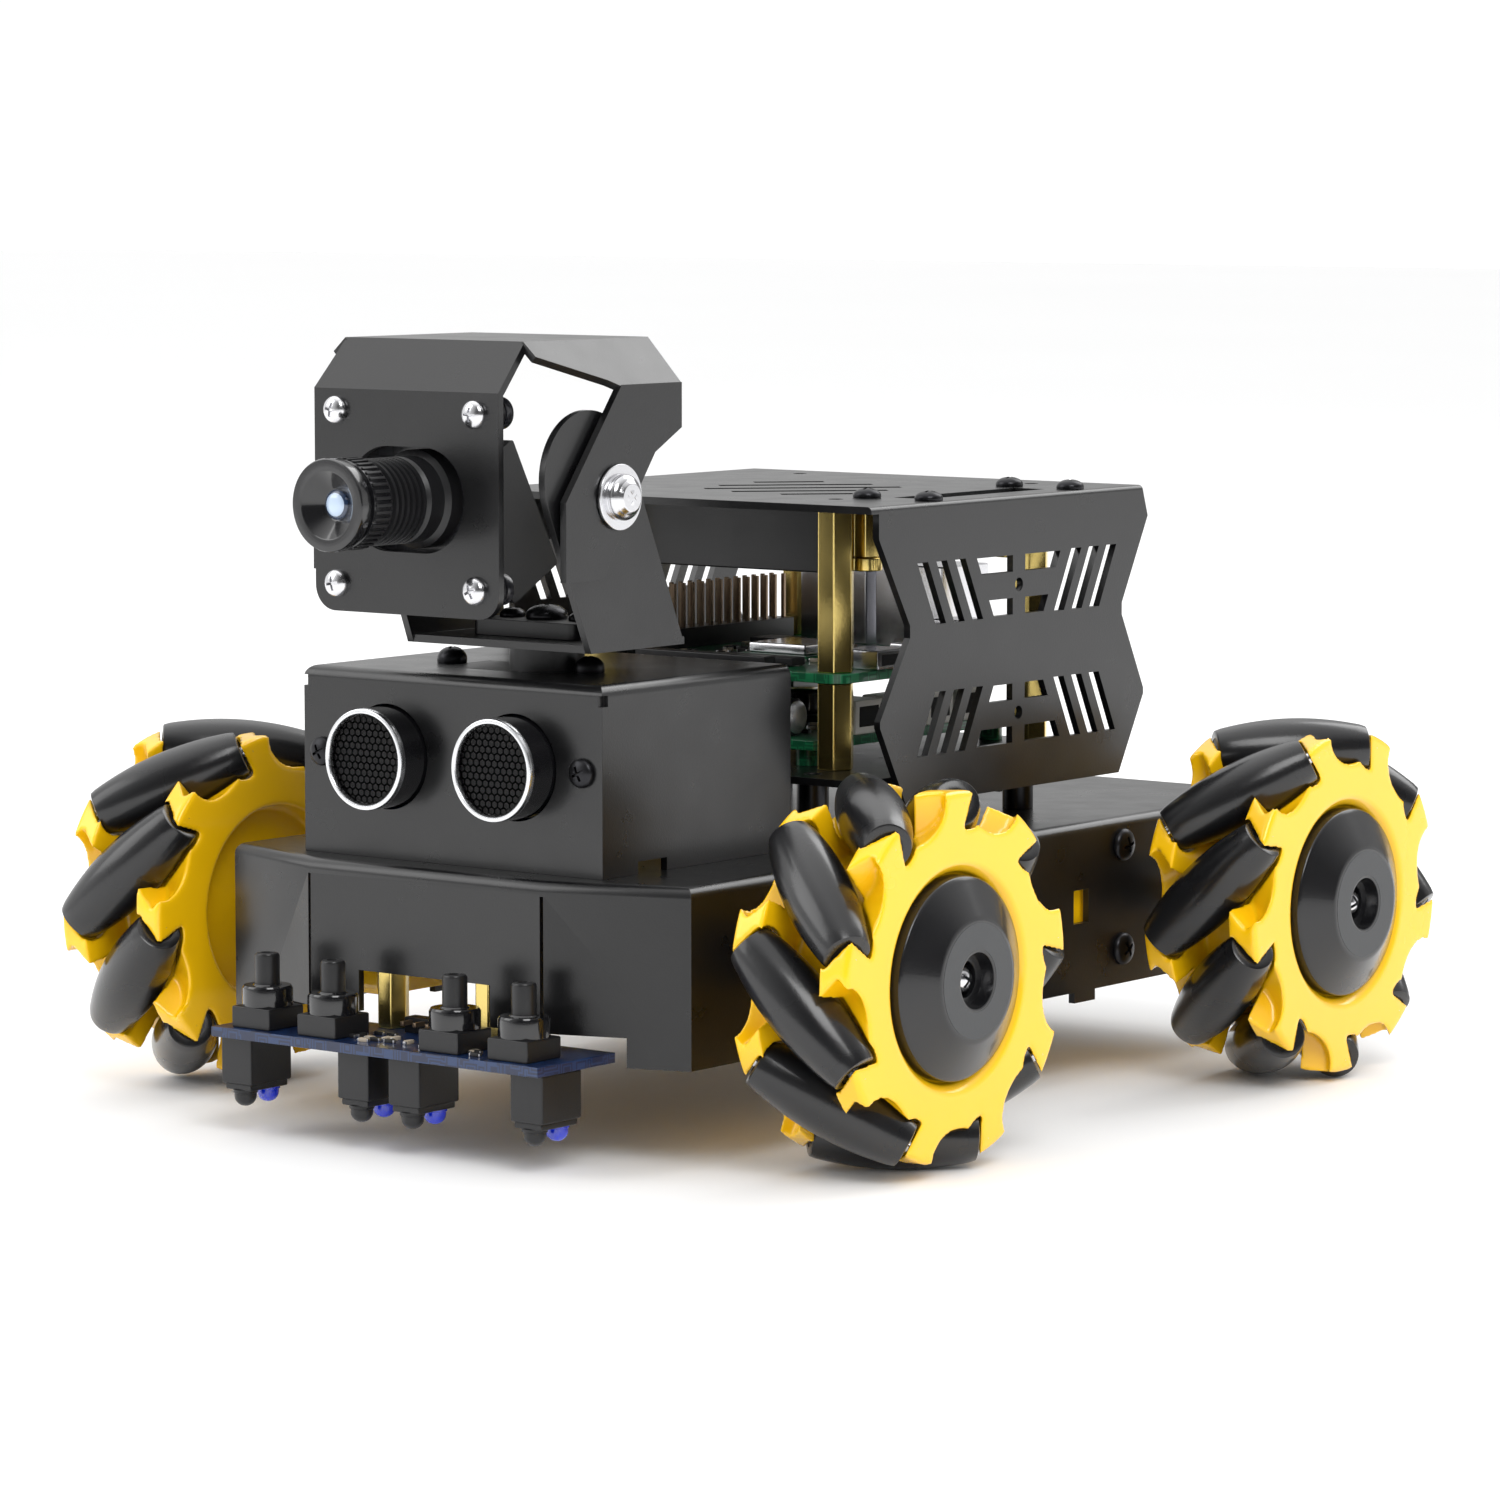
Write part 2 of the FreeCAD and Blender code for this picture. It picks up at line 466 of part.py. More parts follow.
def camera_bracket():
    front_z, roof_front_y = 117.4, -82.0
    y0, y1 = CAM_PLATE_Y, CAM_PLATE_Y + SHEET
    face = box(-CAM_PLATE_HALF_X, CAM_PLATE_HALF_X, y0, y1, 83.0, front_z)
    face = round_edges(face, 4.0, lambda a, b: abs(a.y - b.y) > 1 and max(a.z, b.z) < 84)
    brow = plate([(y0, front_z), (roof_front_y, CAM_TOP_Z), (roof_front_y + 0.5, CAM_TOP_Z - SHEET),
                  (y1, front_z - 0.4)], "x", -CAM_PLATE_HALF_X, CAM_PLATE_HALF_X)
    taper = plate([(-CAM_PLATE_HALF_X - 1, front_z), (-CAM_PLATE_HALF_X - 1, CAM_TOP_Z + 1),
                   (-CAM_ROOF_HALF_X, CAM_TOP_Z + 1), (-CAM_ROOF_HALF_X, CAM_TOP_Z),
                   (-CAM_PLATE_HALF_X, front_z)], "y", -95, -70)
    brow = brow.cut([taper, taper.mirror(V(0, 0, 0), V(1, 0, 0))])
    roof = box(-CAM_ROOF_HALF_X, CAM_ROOF_HALF_X, roof_front_y, -52.2, CAM_TOP_Z - SHEET, CAM_TOP_Z)
    pieces = [face, brow, roof]
    for side in (-1, 1):
        x0, x1 = sorted((side * (CAM_ARM_X - SHEET), side * CAM_ARM_X))
        pieces += [shoulder(side), plate(ARM_OUTLINE, "x", x0, x1)]
    bracket = fuse(pieces)
    cuts = [rod(LENS_HOLE_R, (x, CAM_PLATE_Y - 1, LENS_Z), (x, CAM_PLATE_Y + 3, LENS_Z))
            for x in (-LENS_HOLE_SHIFT, LENS_HOLE_SHIFT)]
    cuts.append(box(-LENS_HOLE_SHIFT, LENS_HOLE_SHIFT, CAM_PLATE_Y - 1, CAM_PLATE_Y + 3, LENS_Z - LENS_HOLE_R,
                    LENS_Z + LENS_HOLE_R))
    cuts += [rod(1.1, (x, CAM_PLATE_Y - 1, LENS_Z + z), (x, CAM_PLATE_Y + 3, LENS_Z + z))
             for x in (-CAM_SCREW_X, CAM_SCREW_X) for z in (-CAM_SCREW_Z, CAM_SCREW_Z)]
    cuts.append(rod(PIVOT_R + 0.06, (CAM_ARM_X - 3, TILT_Y, TILT_Z), (CAM_ARM_X + 1, TILT_Y, TILT_Z)))
    cuts.append(rod(3.6, (-CAM_ARM_X + 3, TILT_Y, TILT_Z), (-CAM_ARM_X - 1, TILT_Y, TILT_Z)))
    return bracket.cut(cuts)


def camera_module():
    """The circuit board, its four spacers and screws, and the ribbed lens barrel."""
    back = CAM_PLATE_Y + SHEET
    board_y = back + 3.4
    board = box(-13.2, 13.2, board_y, board_y + 1.6, LENS_Z - 13.2, LENS_Z + 13.2)
    solids, holes = [], []
    for x in (-CAM_SCREW_X, CAM_SCREW_X):
        for z in (LENS_Z - CAM_SCREW_Z, LENS_Z + CAM_SCREW_Z):
            head = pan_head(2.1, 1.6, (x, CAM_PLATE_Y, z), (0, -1, 0))
            shank = rod(1.1, (x, CAM_PLATE_Y, z), (x, board_y + 1.8, z))
            spacer = tube(2.3, 1.1, (x, back, z), (x, board_y, z))
            board = board.fuse(rod(2.5, (x, board_y, z), (x, board_y + 1.6, z)))
            holes.append(rod(1.1, (x, board_y - 1, z), (x, board_y + 3, z)))
            solids += [head.fuse(shank), spacer]
    barrel = rod(BARREL_R, (0, board_y, LENS_Z), (0, RING_BACK_Y + 0.3, LENS_Z))
    spigot = rod(SPIGOT_R, (0, RING_BACK_Y + 0.3, LENS_Z), (0, SPIGOT_TIP_Y, LENS_Z))
    sensor = box(-7, 7, board_y + 1.6, board_y + 4.0, LENS_Z - 7, LENS_Z + 7)
    return [board.cut(holes), barrel.fuse(spigot), sensor] + solids


def focus_ring():
    body = rod(RING_R, (0, RING_BACK_Y, LENS_Z), (0, LENS_TIP_Y, LENS_Z))
    chamfer_tool = rod(RING_R + 1, (0, RING_BACK_Y + 0.01, LENS_Z), (0, RING_BACK_Y - 1.0, LENS_Z))
    chamfer = cone(RING_R - 1.0, RING_R, (0, RING_BACK_Y, LENS_Z), (0, RING_BACK_Y - 1.0, LENS_Z))
    body = body.cut(chamfer_tool).fuse(chamfer)
    bore = rod(SPIGOT_R + 0.06, (0, RING_BACK_Y + 1, LENS_Z), (0, SPIGOT_TIP_Y - 0.15, LENS_Z))
    hood = cone(1.9, 5.1, (0, LENS_TIP_Y + 2.1, LENS_Z), (0, LENS_TIP_Y, LENS_Z))
    return [body.cut([bore, hood])]


# ---------------------------------------------------------------- top cover
def slanted_slot(y, width, z0, z1, shear):
    """A slot through a side wall whose lower end lies shear further back than its top."""
    return [(y, z1), (y + width, z1), (y + width + shear, z0), (y + shear, z0)]


def wall_windows():
    """The vents in a side wall: two groups, each three slots, four windows and three slots."""
    middle = 14.95
    outlines = []
    for z0, z1, way in ((78.4, 88.5, 1), (57.4, 67.5, -1)):
        group = []
        for k in range(3):
            front = slanted_slot(-13.3 + 5.15 * k, 2.9, z0, z1, 5.0)
            group += [front, [(2 * middle - y, z) for y, z in front]]
        for low, high in ((z1 - 2.9, z1 - 0.2), (z0 + 0.2, z0 + 2.9)):
            start = [3.0 + 5.0 * (z1 - z) / (z1 - z0) for z in (high, low)]
            pane = [(start[0], high), (13.2, high), (13.2, low), (start[1], low)]
            group += [pane, [(2 * middle - y, z) for y, z in pane]]
        if way < 0:
            group = [[(y, z0 + z1 - z) for y, z in outline] for outline in group]
        outlines += group
    return outlines


def top_cover():
    roof = box(-COVER_HALF_X, COVER_HALF_X, COVER_FRONT_Y, COVER_REAR_Y, COVER_Z - SHEET, COVER_Z)
    roof = round_edges(roof, 0.9, lambda a, b: at_height(COVER_Z)(a, b) and abs(a.y - b.y) > 5)
    outline = [(-23.6, COVER_Z - 0.8), (-23.6, 92.8), (-15.2, 78.6), (-15.2, 76.6), (-23.2, 63.8), (-23.2, 62.8),
               (-16.2, COVER_WALL_Z), (44.4, COVER_WALL_Z), (51.6, 62.8), (51.6, 63.8), (45.0, 76.6), (45.0, 78.6),
               (52.6, 92.8), (51.1, COVER_Z - 0.8)]
    pieces, cuts = [roof], []
    for side in (-1, 1):
        x0, x1 = sorted((side * (COVER_HALF_X - SHEET), side * COVER_HALF_X))
        pieces.append(plate(outline, "x", x0, x1))
        for window in wall_windows():
            cuts.append(plate(window, "x", x0 - 1, x1 + 1))
        for z in (83.45, 62.45):
            cuts.append(rod(1.1, (x0 - 1, 14.95, z), (x1 + 1, 14.95, z)))
        for y in (POST_FRONT_Y, POST_REAR_Y):
            cuts.append(rod(1.25, (side * POST_X, y, COVER_Z - 3), (side * POST_X, y, COVER_Z + 1)))
    # five diagonal vents in a diamond, and a long cable slot beside the left wall
    for across, length in ((-17.2, 12.0), (-8.6, 26.0), (0.0, 33.0), (8.6, 26.0), (17.2, 12.0)):
        vent = box(-length / 2, length / 2, across - 1.4, across + 1.4, COVER_Z - 3, COVER_Z + 1)
        vent.rotate(V(0, 0, 0), V(0, 0, 1), 45)
        vent.translate(V(1.5, 9.5, 0))
        cuts.append(vent)
    cuts.append(box(29.4, 35.5, -3.0, 31.0, COVER_Z - 3, COVER_Z + 1))
    cuts += [rod(1.25, (x, y, COVER_Z - 3), (x, y, COVER_Z + 1)) for x in STUB_X for y in STUB_Y]
    return fuse(pieces).cut(cuts)


# ---------------------------------------------------------------- electronics
def electronics_plate():
    deck = box(-38.5, 38.5, -24.5, 48.5, PLATE_Z - SHEET, PLATE_Z)
    deck = round_edges(deck, 3.0, lambda a, b: abs(a.z - b.z) > 1)
    holes = [rod(1.5, (s * x, y, PLATE_Z - 3), (s * x, y, PLATE_Z + 1))
             for s in (-1, 1) for x, y in ((POST_X, POST_FRONT_Y), (POST_X, POST_REAR_Y), (LEG_X, LEG_FRONT_Y),
                                           (LEG_X, LEG_REAR_Y))]
    return deck.cut(holes)


def standoffs():
    """Brass hexagon posts: plate to board, board to roof, roof stubs, and two for the line sensor."""
    posts = []
    for side in (-1, 1):
        for y in (POST_FRONT_Y, POST_REAR_Y):
            posts.append(hex_post(side * POST_X, y, PLATE_Z, BOARD_Z - BOARD_T))
            posts.append(hex_post(side * POST_X, y, BOARD_Z, COVER_Z - SHEET))
        posts.append(hex_post(side * 10.0, -81.2, LINE_Z, DECK_Z - SHEET, 4.5))
    for y in STUB_Y:
        x = STUB_X[0]
        posts += [hex_post(x, y, 88.4, COVER_Z - SHEET, 4.0), rod(2.5, (x, y, 86.2), (x, y, 88.4))]
    return posts


def legs():
    return [rod(2.6, (s * LEG_X, y, DECK_Z), (s * LEG_X, y, PLATE_Z - SHEET))
            for s in (-1, 1) for y in (LEG_FRONT_Y, LEG_REAR_Y)]


def controller_board():
    board = box(-28, 28, -15.4, 46.6, BOARD_Z - BOARD_T, BOARD_Z)
    board = round_edges(board, 3.0, lambda a, b: abs(a.z - b.z) > 1)
    return board


def board_components():
    """Pin header, data ports, processor cover and the small parts on both boards."""
    z = BOARD_Z
    header = box(-27.4, -22.4, -7.6, 38.6, z, z + 3.4)
    pins = [box(x - 0.35, x + 0.35, y - 0.35, y + 0.35, z + 3.4, z + 11.0)
            for x in (-26.2, -23.6) for y in [-6.1 + 2.54 * k for k in range(18)]]
    ports = [box(-16, -2, 32, 46, z, z + 14), box(0, 14, 32, 46, z, z + 14), box(15.5, 21, 34, 40, z, z + 4)]
    chip = box(-6, 8, 2, 16, z, z + 2.4)
    side_ports = [box(20.5, 28.6, -6, 3, z, z + 3.2), box(20.5, 28.6, 8, 15, z, z + 3.2),
                  box(20.5, 28.6, 20, 27, z, z + 6.4)]
    small = [box(-15, 12, -14.6, -11.6, z, z + 2.0), box(-2, 14, -9.6, -5.2, z, z + 1.4)]
    low = DRIVER_Z
    capacitor = rod(3.1, (2.5, -8.6, low + 3.2), (14.0, -8.6, low + 3.2))
    terminals = [box(-19.5, -10, y, y + 9, low, low + 6.5) for y in (-6, 8, 22)]
    sockets = [box(14.2, 20.4, y, y + 7.4, low, low + 5.6) for y in (-1, 9, 19, 29)]
    coils = [rod(4.0, (-2, y, low), (-2, y, low + 5.4)) for y in (4, 16)]
    solids = [header] + pins + ports + [chip] + side_ports + small + [capacitor] + terminals + sockets + coils
    return solids


def driver_board():
    board = box(-20.6, 20.6, -12.8, 46.0, DRIVER_Z - BOARD_T, DRIVER_Z)
    feet = [rod(2.0, (x, y, PLATE_Z), (x, y, DRIVER_Z - BOARD_T)) for x in (-17, 17) for y in (-9.4, 42)]
    return [board] + feet


def battery_pack():
    pack = box(-20.8, 20.8, -8.4, 38.0, COVER_Z - SHEET - 11.2, COVER_Z - SHEET)
    return round_edges(pack, 2.2, lambda a, b: abs(a.y - b.y) > 5 and max(a.z, b.z) < COVER_Z - 5)


# ---------------------------------------------------------------- line sensor
def line_sensor_board():
    board = box(-LINE_HALF_X, LINE_HALF_X, LINE_FRONT_Y, LINE_REAR_Y, LINE_Z - BOARD_T, LINE_Z)
    return board.cut([rod(1.5, (s * 10, -81.2, LINE_Z - 3), (s * 10, -81.2, LINE_Z + 1)) for s in (-1, 1)])


def line_sensor_eyes():
    """Below the board four blocks with two domes each; above it four capped posts."""
    solids = []
    for x in LINE_EYE_X:
        solids.append(box(x - 3.2, x + 3.2, LINE_EYE_Y - 4.7, LINE_EYE_Y + 4.7, 7.2, LINE_Z - BOARD_T))
        for y in (-2.6, 2.6):
            drum = rod(1.8, (x, LINE_EYE_Y + y, 7.2), (x, LINE_EYE_Y + y, 6.3))
            dome = Part.makeSphere(1.8, V(x, LINE_EYE_Y + y, 6.3))
            dome = dome.cut(box(x - 3, x + 3, LINE_EYE_Y + y - 3, LINE_EYE_Y + y + 3, 6.3, 9))
            solids.append(drum.fuse(dome))
    for x in LINE_TOP_X:
        solids.append(box(x - 4, x + 4, LINE_TOP_Y - 4, LINE_TOP_Y + 4, LINE_Z, LINE_Z + 3.4))
        solids.append(rod(4.0, (x, LINE_TOP_Y, LINE_Z + 3.4), (x, LINE_TOP_Y, LINE_Z + 6.7)))
        solids.append(rod(1.95, (x, LINE_TOP_Y, LINE_Z + 6.7), (x, LINE_TOP_Y, LINE_Z + 11.7)))
    return solids


# ---------------------------------------------------------------- fasteners
def body_screws():
    heads = []

    def screw(radius, height, at, out, shank_r, depth):
        at, out = V(*at), V(*out)
        heads.append(pan_head(radius, height, at, out).fuse(Part.makeCylinder(shank_r, depth, at, -out)))

    for side in (-1, 1):
        for end in (-1, 1):
            for up in (-1, 1):
                screw(2.7, 1.6, (side * TRAY_HALF_X, end * MOTOR_SCREW_Y, AXLE_Z + up * MOTOR_SCREW_Z),
                      (side, 0, 0), MOTOR_SCREW_R, 12)
        screw(2.3, 1.4, (side * SONAR_SCREW_X, BOX_FRONT_Y, SONAR_Z), (0, -1, 0), 1.15, 8)
        screw(2.4, 2.6, (PAN_SERVO_X + side * SERVO_SCREW, PAN_Y, BOX_TOP_Z), (0, 0, 1), 1.1, 6.8)
    for x in STUB_X:
        for y in STUB_Y:
            screw(2.3, 1.6, (x, y, COVER_Z), (0, 0, 1), 1.25, SHEET)
    return heads


# ---------------------------------------------------------------- mecanum wheels
def roller_axis(hand, angle):
    """Centre and direction of the roller at an angle round a wheel, for a wheel at the origin."""
    radial = V(0, cos(angle), sin(angle))
    round_way = V(0, -sin(angle), cos(angle))
    return radial * ROLLER_CENTRE_R, (V(1, 0, 0) + round_way * hand).normalize()


def barrel(extra_r, half_length, centre, axis):
    """A barrel whose side keeps WHEEL_R from the wheel's axis all along the roller."""
    middle_r = WHEEL_R - ROLLER_CENTRE_R + extra_r
    end_r = WHEEL_R - sqrt(ROLLER_CENTRE_R ** 2 + half_length ** 2 / 2) + extra_r
    arc = Part.Arc(V(end_r, 0, -half_length), V(middle_r, 0, 0), V(end_r, 0, half_length)).toShape()
    rest = Part.makePolygon([V(end_r, 0, half_length), V(0, 0, half_length), V(0, 0, -half_length),
                             V(end_r, 0, -half_length)])
    solid = Part.Face(Part.Wire([arc] + rest.Edges)).revolve(V(0, 0, 0), V(0, 0, 1), 360)
    solid.Placement = FreeCAD.Placement(centre, FreeCAD.Rotation(V(0, 0, 1), axis))
    return solid


def valley(hand, angle, face):
    """The scoop between two lobes of a flange, which slopes as the rollers do."""
    centre, axis = roller_axis(hand, radians(angle - face * hand * VALLEY_TURN))
    centre = centre * (VALLEY_CENTRE_R / ROLLER_CENTRE_R)
    return rod(VALLEY_R, centre + axis * (7 * face), centre + axis * (17 * face))


def wheel_parts(hand, phase):
    """One wheel about the origin with its outer face towards +X, and its rollers."""
    w = WHEEL_HALF_W
    discs = [rod(RIM_R, (5.8, 0, 0), (w, 0, 0)), rod(RIM_R, (-w, 0, 0), (-5.8, 0, 0))]
    rim = fuse([rod(SPOOL_R, (-w, 0, 0), (w, 0, 0))] + discs)
    cuts = [rod(HUB_R + 0.3, (8.4, 0, 0), (w + 1, 0, 0)), rod(HUB_R, (-w - 1, 0, 0), (-7.6, 0, 0)),
            rod(5.0, (-w - 1, 0, 0), (w + 1, 0, 0))]
    rollers, pins = [], []
    for k in range(ROLLERS):
        centre, axis = roller_axis(hand, radians(phase + 360.0 / ROLLERS * k))
        ends = (centre - axis * PIN_HALF_L, centre + axis * PIN_HALF_L)
        cuts.append(barrel(ROLLER_GAP, ROLLER_HALF_L + 0.35, centre, axis))
        cuts += [valley(hand, phase + 360.0 / ROLLERS * k, face) for face in (-1, 1)]
        cuts.append(rod(PIN_R, ends[0], ends[1]))
        pins.append(rod(PIN_R, ends[0], ends[1]))
        bore = rod(ROLLER_BORE_R, centre - axis * 20, centre + axis * 20)
        rollers.append(barrel(0, ROLLER_HALF_L, centre, axis).cut(bore))
    rim = rim.cut(cuts)
    cap = rod(HUB_R, (8.4, 0, 0), (w + 0.3, 0, 0)).fuse(cone(HUB_R, 9.3, (w + 0.3, 0, 0), (HUB_FACE, 0, 0)))
    cap = cap.cut(rod(2.85, (8, 0, 0), (HUB_FACE + 1, 0, 0)))
    coupler = rod(5.0, (-17.0, 0, 0), (8.4, 0, 0)).cut([rod(SHAFT_R, (-18, 0, 0), (4, 0, 0)),
                                                        rod(1.4, (3, 0, 0), (9, 0, 0))])
    shaft = rod(SHAFT_R, (-33.0, 0, 0), (4.0, 0, 0))
    screw = rod(1.4, (4.0, 0, 0), (8.4, 0, 0)).fuse(pan_head(2.6, 4.6, (8.4, 0, 0), (1, 0, 0)))
    return [rim, cap, coupler, shaft, screw] + pins, rollers


def place_wheel(shapes, side, end):
    placed = []
    for shape in shapes:
        turned = shape if side > 0 else shape.mirror(V(0, 0, 0), V(1, 0, 0))
        placed.append(turned.translated(V(side * WHEEL_X, end * AXLE_Y, AXLE_Z)))
    return placed


def save_wheels():
    for name, side, end, phase in WHEELS:
        # seen from above, the four wheels' top rollers form an X
        hand = -end
        wheel, rollers = wheel_parts(hand, phase)
        save("wheel_" + name, place_wheel(wheel, side, end))
        for k, roller in enumerate(place_wheel(rollers, side, end), 1):
            save(f"roller_{name}_{k}", [roller])


os.makedirs("parts", exist_ok=True)
save("chassis_tray", [chassis_tray()])
save("gear_motors", gear_motors())
save("sensor_box", [sensor_box()])
save("ultrasonic_sensor", ultrasonic_sensor())
save("pan_servo", pan_servo())
save("top_cover", [top_cover()])
save("electronics_plate", [electronics_plate()] + legs())
save("standoffs", standoffs())
save("controller_board", [controller_board()])
save("board_components", board_components())
save("driver_board", driver_board())
save("battery_pack", [battery_pack()])
save("line_sensor", [line_sensor_board()] + line_sensor_eyes())
save("body_screws", body_screws())
save("pan_bracket", [pan_bracket()])
save("pan_horn", pan_horn() + [tilt_pivot_screw()])
save("tilt_servo", [tilt_servo()])
save("camera_bracket", [camera_bracket()] + tilt_horn())
save("camera_module", camera_module())
save("focus_ring", focus_ring())
save_wheels()
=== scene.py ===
import random
from math import cos, pi, radians, sin, sqrt

import bmesh
import bpy
from mathutils import Matrix, Vector


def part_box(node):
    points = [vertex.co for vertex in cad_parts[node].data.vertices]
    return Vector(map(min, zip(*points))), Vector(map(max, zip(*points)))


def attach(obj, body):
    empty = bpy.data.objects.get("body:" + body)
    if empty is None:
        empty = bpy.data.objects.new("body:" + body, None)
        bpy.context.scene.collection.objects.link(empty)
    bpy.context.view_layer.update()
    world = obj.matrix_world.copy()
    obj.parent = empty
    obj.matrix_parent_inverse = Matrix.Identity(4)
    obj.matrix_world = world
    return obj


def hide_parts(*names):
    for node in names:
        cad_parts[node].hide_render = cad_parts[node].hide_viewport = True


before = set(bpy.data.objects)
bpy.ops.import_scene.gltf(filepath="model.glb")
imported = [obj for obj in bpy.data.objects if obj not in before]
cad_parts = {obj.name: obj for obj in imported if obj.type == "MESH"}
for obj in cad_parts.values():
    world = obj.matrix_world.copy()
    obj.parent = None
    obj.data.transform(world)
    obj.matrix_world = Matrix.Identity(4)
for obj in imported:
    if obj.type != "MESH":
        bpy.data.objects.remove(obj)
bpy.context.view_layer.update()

# Everything below is in millimetres, about the point on the ground midway between the axles.
MM = 0.001
random.seed(7)


def node_box(name):
    """A CAD node's corners in millimetres, about the middle of the plan."""
    low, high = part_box(name)
    return (low - ORIGIN) / MM, (high - ORIGIN) / MM


FRONT_WHEEL, REAR_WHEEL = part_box("wheel_front_left"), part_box("wheel_rear_left")
ORIGIN = Vector((0, sum(corner.y for corner in FRONT_WHEEL + REAR_WHEEL) / 4, 0))

# Driving dimensions of the frame
AXLE_Z, AXLE_Y, WHEEL_X = 30.0, 55.25, 69.15
WHEEL_HALF_W, RIM_R, SPOOL_R = 10.95, 28.4, 18.4
ROLLERS, ROLLER_CENTRE_R, ROLLER_HALF_L, ROLLER_GAP = 9, 24.7, 12.8, 0.45
VALLEY_R, VALLEY_CENTRE_R, VALLEY_TURN = 6.0, 27.26, 14.0
MOTOR_X = 36.1
WHEELS = [("front_left", 1, -1, 26.0), ("front_right", -1, -1, 3.5),
          ("rear_left", 1, 1, 11.5), ("rear_right", -1, 1, 26.0)]
TRAY_X = node_box("chassis_tray")[1].x
BOX_FRONT_Y = node_box("sensor_box")[0].y
BOX_TOP_Z = node_box("sensor_box")[1].z
SONAR_Z, SONAR_PITCH, SONAR_FACE_Y = 59.5, 13.0, node_box("ultrasonic_sensor")[0].y
PAN_X, PAN_Y = 5.35, -61.8
PAN_SERVO_X, SERVO_SCREW = -0.15, 14.1
HORN_Z = 81.0
TILT_Y, TILT_Z = -69.2, 101.1
EAR_LEAN = radians(28.6)
CAM_PLATE_Y = node_box("camera_bracket")[0].y
LENS_Z, LENS_TIP_Y = 100.7, node_box("focus_ring")[0].y
RING_BACK_Y = node_box("focus_ring")[1].y
COVER_Z = node_box("top_cover")[1].z
BOARD_Z = node_box("controller_board")[1].z
DRIVER_Z = node_box("driver_board")[1].z
LINE_Z = node_box("line_sensor")[1].z - 11.7
PIVOT_X = node_box("pan_horn")[1].x - 2.8
STUB_X, STUB_Y = (26.3, 38.6), (-6.0, 34.0)
LINE_EYE_X, LINE_EYE_Y = (-29.6, -5.2, 5.2, 29.6), -91.6
LINE_TOP_X, LINE_TOP_Y = (-26.2, -12.45, 12.45, 26.2), -92.6

# The view, in millimetres and radians about ORIGIN
CAMERA_AT = (566.93, -736.34, 152.90)
CAMERA_AROUND, CAMERA_ABOVE = radians(37.704), radians(6.027)
CAMERA_LENS, CAMERA_SENSOR = 134.95, 36


# ---------------------------------------------------------------- materials
def blend_nodes(tree, low, high, scale, detail, contrast):
    """A noise over the object that mixes two colours; returns the coordinates and the noise too."""
    links = tree.links
    coords = tree.nodes.new("ShaderNodeTexCoord").outputs["Object"]
    noise = tree.nodes.new("ShaderNodeTexNoise")
    noise.inputs["Scale"].default_value = scale
    noise.inputs["Detail"].default_value = detail
    links.new(coords, noise.inputs["Vector"])
    ramp = tree.nodes.new("ShaderNodeValToRGB")
    ramp.color_ramp.elements[0].position = 0.5 - contrast
    ramp.color_ramp.elements[1].position = 0.5 + contrast
    ramp.color_ramp.elements[0].color = (*low, 1)
    ramp.color_ramp.elements[1].color = (*high, 1)
    links.new(noise.outputs["Fac"], ramp.inputs["Fac"])
    return coords, noise, ramp


def finish(name, color, rough, metal=0.0, coat=0.0, coat_rough=0.05, grain=2600, bump=0.05, mottle=0.12,
           spread=0.08, stretch=None, specular=0.5):
    """A surface with mottled colour, uneven roughness and a fine grain; grain is in cycles per metre."""
    material = bpy.data.materials.new(name)
    material.use_nodes = True
    tree = material.node_tree
    links, shader = tree.links, tree.nodes["Principled BSDF"]
    low = [c * (1 - mottle) for c in color]
    high = [min(1, c * (1 + mottle)) for c in color]
    coords, noise, ramp = blend_nodes(tree, low, high, grain / 22, 4, 0.3)
    links.new(ramp.outputs["Color"], shader.inputs["Base Color"])
    uneven = tree.nodes.new("ShaderNodeMapRange")
    uneven.inputs["To Min"].default_value = max(0.02, rough - spread)
    uneven.inputs["To Max"].default_value = rough + spread
    links.new(noise.outputs["Fac"], uneven.inputs["Value"])
    links.new(uneven.outputs["Result"], shader.inputs["Roughness"])
    fine = tree.nodes.new("ShaderNodeTexNoise")
    fine.inputs["Scale"].default_value = grain
    fine.inputs["Detail"].default_value = 3
    if stretch:
        mapping = tree.nodes.new("ShaderNodeMapping")
        mapping.inputs["Scale"].default_value = stretch
        links.new(coords, mapping.inputs["Vector"])
        links.new(mapping.outputs["Vector"], fine.inputs["Vector"])
    else:
        links.new(coords, fine.inputs["Vector"])
    relief = tree.nodes.new("ShaderNodeBump")
    relief.inputs["Strength"].default_value = bump
    relief.inputs["Distance"].default_value = 0.15 * MM
    links.new(fine.outputs["Fac"], relief.inputs["Height"])
    links.new(relief.outputs["Normal"], shader.inputs["Normal"])
    shader.inputs["Metallic"].default_value = metal
    shader.inputs["Coat Weight"].default_value = coat
    shader.inputs["Coat Roughness"].default_value = coat_rough
    shader.inputs["Specular IOR Level"].default_value = specular
    return material


